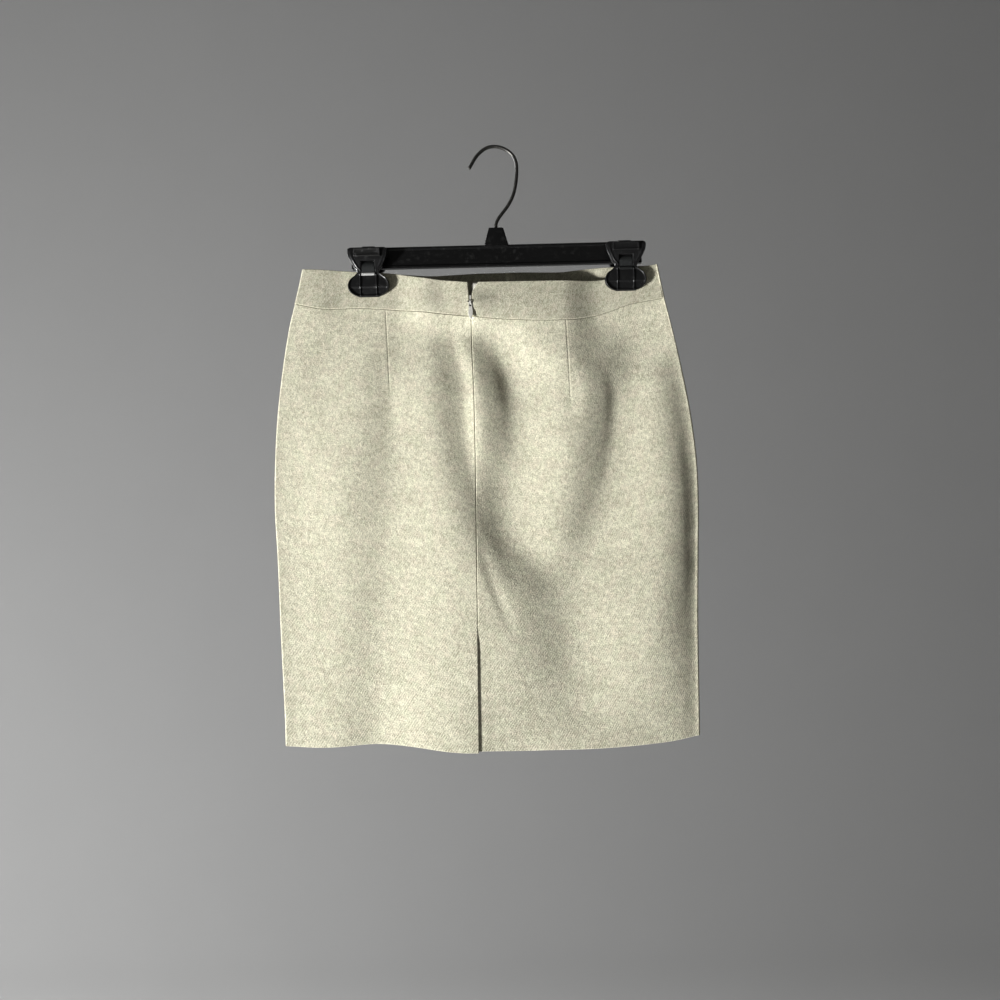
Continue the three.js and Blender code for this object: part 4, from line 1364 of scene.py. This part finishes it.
class Hanger:
    """The hanger's bar with its boss, and the wire hook."""

    def __init__(self, sizes: HangerSizes) -> None:
        """Keep the sizes.

        Args:
            sizes: the hanger's sizes.
        """
        self.sizes = sizes

    def bar(self) -> None:
        """Build the bar, its section carried along X, and the tapered boss on it."""
        size = self.sizes
        plastic = PlasticFinish().material("hanger_plastic")
        rim, web = size.rim / 2, size.web / 2
        low, high = size.bottom + size.rim_height, size.top - size.rim_height
        side = [(rim, size.bottom), (rim, low), (web, low + size.fillet), (web, high - size.fillet),
                (rim, high), (rim, size.top)]
        outline = np.array(side + [(-y, z) for y, z in reversed(side)])
        along = np.linspace(-size.length / 2, size.length / 2, 60)
        rings = np.zeros((len(along), len(outline), 3))
        rings[..., 0] = along[:, None]
        rings[..., 1:] = outline[None]
        piece("hanger_bar_rail", loft(rings), plastic, nodes=["hanger_bar"],
              bevel=0.45)
        # shares of the boss's height, after the depth of its root
        levels = np.array([-size.boss_root, 0.0, 0.35, 0.7, 0.93, 1.0])
        rings = []
        for level in levels:
            share = max(level, 0.0)
            width = mix(size.boss_base, size.boss_crest, share)
            depth = mix(size.boss_depth, size.boss_depth - size.boss_taper, share)
            z = size.top + level if level < 0 else size.top + level * size.boss_height
            rings.append(self._rounded(width, depth, z, size.boss_corner))
        piece("hanger_boss", loft(np.array(rings)), plastic, bevel=0.5)

    def _rounded(self, width: float, depth: float, z: float, corner: float) -> Array:
        """Return a level oblong ring with rounded corners, six points to a corner."""
        t = np.linspace(0, math.pi / 2, 6)
        points = []
        for quarter, (sx, sy) in enumerate(((1, 1), (-1, 1), (-1, -1), (1, -1))):
            angle = t + quarter * math.pi / 2
            points.append(np.stack([
                sx * (width / 2 - corner) + corner * np.cos(angle),
                sy * (depth / 2 - corner) + corner * np.sin(angle),
                np.full_like(angle, z)], 1))
        return np.concatenate(points)

    def hook(self) -> None:
        """Build the hook: a round wire along its line, with a rounded tip."""
        size = self.sizes
        wire = MetalFinish((0.045, 0.044, 0.040, 1.0), (0.26, 0.25, 0.23, 1.0), 0.75, 0.33, 0.35)
        path = smooth_path([(x, 0.0, z) for x, z in size.hook_line], 200)
        start = path[0] - path[1]
        start /= np.linalg.norm(start)
        tip = path[0] + start * np.array([1.62, 1.5, 1.2, 0.7, 0.3])[:, None]
        round_tip = np.array([0.18, 0.42, 0.71, 0.91, 0.985]) * size.wire
        radius = np.concatenate([round_tip, np.full(len(path), size.wire)])
        wire_body = tube(np.concatenate([tip, path]), radius, 20)
        piece("hook_wire", wire_body, wire.material("hook_wire"), nodes=["hanger_hook"])


@dataclass(frozen=True)
class ClipSizes:
    """Sizes of one clip: its two jaws and its spring."""

    centres: tuple[float, float] = FORM.clip_x
    soft: float = 0.7
    window_cells: int = 16
    # the pad: where it starts, its raised rim and ribs, and the step at half its height
    pad_top: float = -127.6
    pad_rim: float = 1.1
    pad_rib: float = 1.15
    pad_rib_place: float = 8.3
    pad_step: float = 0.8
    pad_step_top: float = -141.4
    # the ribs along the lever's flanks
    flank_rib: float = 0.8
    flank_top: float = -104.5
    flank_foot: float = -126.0
    # half the window's width, its top and its bottom
    window: tuple[float, float, float] = (7.1, -115.4, -128.1)
    # height, inner face's distance from the bar's plane, thickness, width
    levels: tuple[tuple[float, ...], ...] = (
        (-102.2, 9.1, 2.6, 34.0), (-104.0, 8.9, 3.4, 39.8), (-110.3, 8.4, 3.8, 39.2),
        (-114.5, 7.9, 3.6, 35.8), (-118.0, 6.6, 3.8, 32.2), (-121.5, 5.2, 4.2, 28.0),
        (-124.8, 4.3, 4.4, 21.6), (-128.5, 3.5, 4.6, 26.0), (-132.2, 3.5, 4.6, 36.0),
        (-135.7, 3.5, 4.8, 40.6), (-140.3, 3.5, 4.8, 42.4), (-144.9, 3.5, 4.2, 39.6),
        (-148.5, 3.5, 3.4, 31.0), (-151.0, 3.5, 2.6, 19.0),
    )
    # height, inner face, thickness, width of the thumb plate
    thumb: tuple[tuple[float, ...], ...] = (
        (-103.4, 11.8, 3.0, 26.6), (-107.6, 11.3, 3.0, 27.2), (-111.9, 10.8, 3.0, 27.2),
    )
    spring: tuple[tuple[float, float], ...] = (
        (-7.2, -127.2), (-8.0, -124.0), (-8.6, -120.6), (-8.2, -118.4), (-7.4, -116.7), (-6.3, -114.9),
        (-5.3, -111.8), (-4.6, -107.6), (-4.2, -103.6), (-4.0, -101.0), (-3.3, -99.3), (-1.4, -98.9),
    )


class Clips:
    """The two pinch clips, each with a front jaw, a rear jaw and a bent spring."""

    def __init__(self, sizes: ClipSizes) -> None:
        """Keep the sizes.

        Args:
            sizes: one clip's sizes.
        """
        self.sizes = sizes

    def build(self) -> None:
        """Build both clips."""
        plastic = PlasticFinish((0.007, 0.007, 0.0072, 1.0), gloss=0.34).material("clip_plastic")
        worn = PlasticFinish((0.008, 0.008, 0.0078, 1.0), 0.080, 0.40).material("thumb_plastic")
        steel = MetalFinish((0.030, 0.032, 0.032, 1.0), (0.12, 0.12, 0.12, 1.0), 0.55, 0.42, 0.25)
        # Painted highlight: this near-white steel stands in for a glint of light along the left clip's
        # spring lips
        bare = MetalFinish((0.80, 0.80, 0.78, 1.0), (0.50, 0.50, 0.48, 1.0), 0.35, 0.30, 0.3)
        dark = steel.material("spring_plate")
        painted_glint_steel = bare.material("spring_lip")
        for centre, name in zip(self.sizes.centres, ("left", "right")):
            for sign, place in ((-1, "front"), (1, "rear")):
                piece(f"{name}_{place}_jaw", self._lever(centre, sign), plastic,
                      nodes=[f"clip_{name}_{place}_jaw"])
                rubbed = worn if name == "left" else plastic
                piece(f"{name}_{place}_thumb", self._thumb(centre, sign), rubbed)
            line = list(self.sizes.spring)
            line += [(-y, z) for y, z in reversed(line)]
            plate = strip(centre, smooth_path(line, 70), 12.8, 0.9, 7)
            piece(f"{name}_spring_plate", plate, dark,
                  nodes=[f"clip_{name}_spring"], bevel=0.18)
            lips = []
            for sign in (-1, 1):
                curl = [(sign * 7.25, -126.9), (sign * 8.4, -127.4), (sign * 9.1, -128.6),
                        (sign * 9.1, -130.1)]
                lips.append(strip(centre, smooth_path(curl, 12), 13.2, 0.8, 7))
            # Only the left clip's lips carry the painted highlight; the right clip's keep the dark spring
            # steel
            lip = painted_glint_steel if name == "left" else dark
            piece(f"{name}_spring_lips", Surface.joined(lips), lip, bevel=0.2)

    def _lever(self, centre: float, sign: int) -> Surface:
        """Return a jaw as a wall between its inner and outer faces, with its window and ribs.

        Across, the middle columns keep to the window's width and the rest spread to the
        outline. The pad has a raised rim, two upright ribs and a step at half its height.

        Args:
            centre: the clip's place across.
            sign: -1 for the front jaw and 1 for the rear one.

        Returns:
            The closed jaw.
        """
        size = self.sizes
        half_window, top, bottom = size.window
        rows = size.levels
        high, low = rows[0][0], rows[-1][0]
        heights = np.unique(np.concatenate([
            graded(high - low, 0.75, (0.0, 0.1, 0.3, 0.6)) + low, [top, bottom]]))[::-1]
        near, thick, wide = (track(rows, column)(heights) for column in (1, 2, 3))
        rib = np.array([7.45, 7.7, 7.9, 8.1, 8.3, 8.5, 8.7, 8.9, 9.15, 9.5])
        window = np.linspace(-1, 1, size.window_cells + 1) * half_window
        middle = np.concatenate([-rib[::-1], window, rib])
        spread = np.array([
            0.07, 0.15, 0.24, 0.34, 0.44, 0.55, 0.66, 0.76, 0.85, 0.91, 0.95, 0.98, 0.995, 1.0])
        side = middle[-1] + spread[:, None] * (wide / 2 - middle[-1])[None, :]
        core = np.repeat(middle[:, None], len(heights), 1)
        x = np.concatenate([-side[::-1], core, side])
        z = np.repeat(heights[None, :], len(x), 0)
        edge = np.minimum(wide[None, :] / 2 - np.abs(x), np.minimum(z - low, high - z))
        inset = rounding(edge, size.soft)
        on_pad = ease((size.pad_top - z) / 2.4)
        raised = size.pad_rim * np.exp(-(((edge - 0.9) / 0.75) ** 2))
        for place in (-size.pad_rib_place, size.pad_rib_place):
            ridge = size.pad_rib * np.exp(-(((x - place) / 0.42) ** 2))
            raised = np.maximum(raised, ridge * ease((edge - 0.3) / 0.6))
        step = size.pad_step * ease((size.pad_step_top - z) / 0.7) * ease((edge - 1.8) / 0.8)
        relief = on_pad * (raised - step - 1.0)
        flank = ease((size.flank_top - z) / 1.5) * ease((z - size.flank_foot) / 3.0)
        rib_edge = np.exp(-(((np.abs(x) - wide[None, :] / 2 + 3.2) / 0.6) ** 2))
        relief = relief + flank * size.flank_rib * rib_edge
        outer = near[None, :] + thick[None, :] - inset + relief
        inner = near[None, :] + inset * 0.6
        faces = [np.stack([centre + x, sign * y, z], -1) for y in (outer, inner)]
        cells = np.ones((len(x) - 1, len(heights) - 1), bool)
        rows_in = (heights[:-1] <= top + 1e-6) & (heights[1:] >= bottom - 1e-6)
        start = len(spread) + len(rib)
        cells[start : start + size.window_cells] = ~rows_in[None, :]
        return closed_wall(*faces, cells=cells)

    def _thumb(self, centre: float, sign: int) -> Surface:
        """Return the thumb plate: a slightly hollow slab with a grip ridge and a worn lower lip."""
        rows = self.sizes.thumb
        high, low = rows[0][0], rows[-1][0]
        heights = (graded(high - low, 0.45, (0.0, 0.1, 0.25, 0.5)) + low)[::-1]
        near, thick, wide = (track(rows, column)(heights) for column in (1, 2, 3))
        share = graded(2.0, 0.05, (0.0, 0.006, 0.02, 0.045)) - 1.0
        x = share[:, None] * wide[None, :] / 2
        corner = ease((np.abs(share)[:, None] - 0.86) / 0.14) * 0.9
        z = heights[None, :] - corner * ease((heights[None, :] - high + 1.4) / 1.4)
        edge = np.minimum((1.0 - np.abs(share))[:, None] * wide[None, :] / 2,
                          np.minimum(heights - low, high - heights)[None, :])
        inset = rounding(edge, 0.8)
        hollow = 0.55 * np.sin(np.clip((heights - low) / (high - low), 0, 1) * math.pi)[None, :]
        lip = 0.35 * np.exp(-(((z - low - 0.9) / 0.5) ** 2))
        outer = near[None, :] + thick[None, :] - inset - hollow * ease((edge - 0.8) / 1.6) + lip
        inner = near[None, :] + inset * 0.6
        faces = [np.stack([centre + x, sign * y, z], -1) for y in (outer, inner)]
        return closed_wall(*faces)


@dataclass(frozen=True)
class StudioSizes:
    """The camera's place and the backdrop's, in metres."""

    sensor: float = 36.0
    sky: Colour = (0.88, 0.87, 0.84, 1.0)
    sky_strength: float = 0.085
    distance: float = 0.771
    frame: float = 1.027
    aim: tuple[float, float, float] = (-0.0026, 0.0, -0.3613)
    roll: float = 1.4
    floor: float = -3.9
    wall: float = 2.9
    sweep: float = 1.4
    reach: float = 40.0


class Studio:
    """Floor and backdrop, lights and camera."""

    def __init__(self, sizes: StudioSizes) -> None:
        """Keep the sizes.

        Args:
            sizes: the camera's place and the backdrop's.
        """
        self.sizes = sizes

    def camera(self) -> None:
        """Aim the camera level at the skirt's back, rolled as the photograph was."""
        size = self.sizes
        data = bpy.data.cameras.new("camera")
        data.sensor_width = size.sensor
        data.lens = size.sensor * size.distance / size.frame
        camera = bpy.data.objects.new("camera", data)
        camera.location = (size.aim[0], size.aim[1] - size.distance, size.aim[2])
        camera.rotation_euler = Euler((math.pi / 2, math.radians(size.roll), 0.0))
        bpy.context.scene.collection.objects.link(camera)
        bpy.context.scene.camera = camera

    def lamp(self, name: str, place: tuple[float, float, float], size: float, power: float,
             way: Vector | None = None) -> None:
        """Add a soft square lamp.

        Args:
            name: the lamp's name.
            place: where it stands.
            size: its side.
            power: its power in watts.
            way: which way it faces; towards the skirt if not given.
        """
        data = bpy.data.lights.new(name, "AREA")
        data.size = size
        data.energy = power
        lamp = bpy.data.objects.new(name, data)
        lamp.location = place
        lamp.visible_camera = False
        facing = Vector(self.sizes.aim) - Vector(place) if way is None else way
        lamp.rotation_euler = facing.to_track_quat("-Z", "Y").to_euler()
        bpy.context.scene.collection.objects.link(lamp)

    def backdrop(self) -> None:
        """Build the pale floor that sweeps up into a plain wall, as one sheet with a thickness.

        Its section runs level, round a quarter circle and then upright.
        """
        size = self.sizes
        turn = np.linspace(0, math.pi / 2, 40)
        level = np.stack([np.linspace(-size.reach, size.wall - size.sweep, 20), np.full(20, size.floor)], 1)
        curve = np.stack([size.wall - size.sweep + size.sweep * np.sin(turn),
                          size.floor + size.sweep * (1 - np.cos(turn))], 1)
        upright = np.stack([np.full(12, size.wall), np.linspace(size.floor + size.sweep, 5.0, 12)], 1)
        section = np.concatenate([level, curve[1:-1], upright])
        across = np.linspace(-size.reach, size.reach, 12)
        grids = []
        for shift in (0.0, 0.03):
            grid = np.zeros((len(across), len(section), 3))
            grid[..., 0] = across[:, None]
            grid[..., 1:] = section[None] + np.array([shift, -shift])
            grids.append(grid)
        surface = closed_wall(*grids)
        mesh = bpy.data.meshes.new("floor")
        mesh.from_pydata(surface.points.tolist(), [], surface.quads.tolist())
        mesh.polygons.foreach_set("use_smooth", np.ones(len(mesh.polygons), bool))
        mesh.materials.append(FloorFinish().material("floor_pale"))
        floor = bpy.data.objects.new("floor", mesh)
        bpy.context.scene.collection.objects.link(floor)

    def build(self) -> None:
        """Build the backdrop, the lights, the pale surroundings and the camera."""
        self.backdrop()
        world = bpy.data.worlds.new("surroundings")
        world.use_nodes = True
        sky = world.node_tree.nodes["Background"]
        sky.inputs[0].default_value = self.sizes.sky
        sky.inputs[1].default_value = self.sizes.sky_strength
        bpy.context.scene.world = world
        bpy.context.scene.view_settings.view_transform = "Standard"
        self.lamp("key", place=(-5.74, -2.80, -3.23), size=0.70, power=1090.0)
        self.lamp("rear", place=(-1.5, 2.1, 0.35), size=1.2, power=75.0, way=Vector((0.0, -1.0, 0.0)))
        self.camera()


# Width and length in metres of each panel as it shows, and the waistband piece that it hangs from
PANEL_CUTS = {
    "front": (0.442, 0.452, "band_front_cloth"),
    "left": (0.212, 0.452, "band_left_cloth"),
    "right": (0.276, 0.452, "band_right_cloth"),
}
# The same for the waistband's pieces, which hang in the clips
BAND_CUTS = {"front": (0.388, 0.046), "left": (0.184, 0.046), "right": (0.2, 0.05)}
CLIP_JAWS = ["left_front_jaw", "left_rear_jaw", "right_front_jaw", "right_rear_jaw"]


def declare_cloth(panels: dict[str, bpy.types.Object], bands: dict[str, bpy.types.Object]) -> None:
    """Add up each piece of cloth's face area and set it against the flat size of what shows of it; the
    result is not kept.

    Args:
        panels: the three panels by name.
        bands: the waistband's pieces by name.
    """
    hung = []
    for key, (width, length, band) in PANEL_CUTS.items():
        hung.append((panels[key], width, length, [band]))
    for key, (width, length) in BAND_CUTS.items():
        hung.append((bands[key], width, length, CLIP_JAWS))
    for obj, width, length, holders in hung:
        area = sum(polygon.area for polygon in obj.data.polygons) / 2
        min(area, width * length)


def main() -> None:
    """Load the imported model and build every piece."""
    logging.basicConfig(level=logging.INFO, format="%(message)s")
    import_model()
    Studio(StudioSizes()).build()
    skirt = Skirt(ClothSizes())
    panels = skirt.panels()
    bands = skirt.waistband()
    zipper = Zip(ZipSizes())
    zipper.tapes()
    zipper.slider()
    zipper.pull()
    hanger = Hanger(HangerSizes())
    hanger.bar()
    hanger.hook()
    Clips(ClipSizes()).build()
    declare_cloth(panels, bands)
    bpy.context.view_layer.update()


if __name__ == "__main__":
    main()
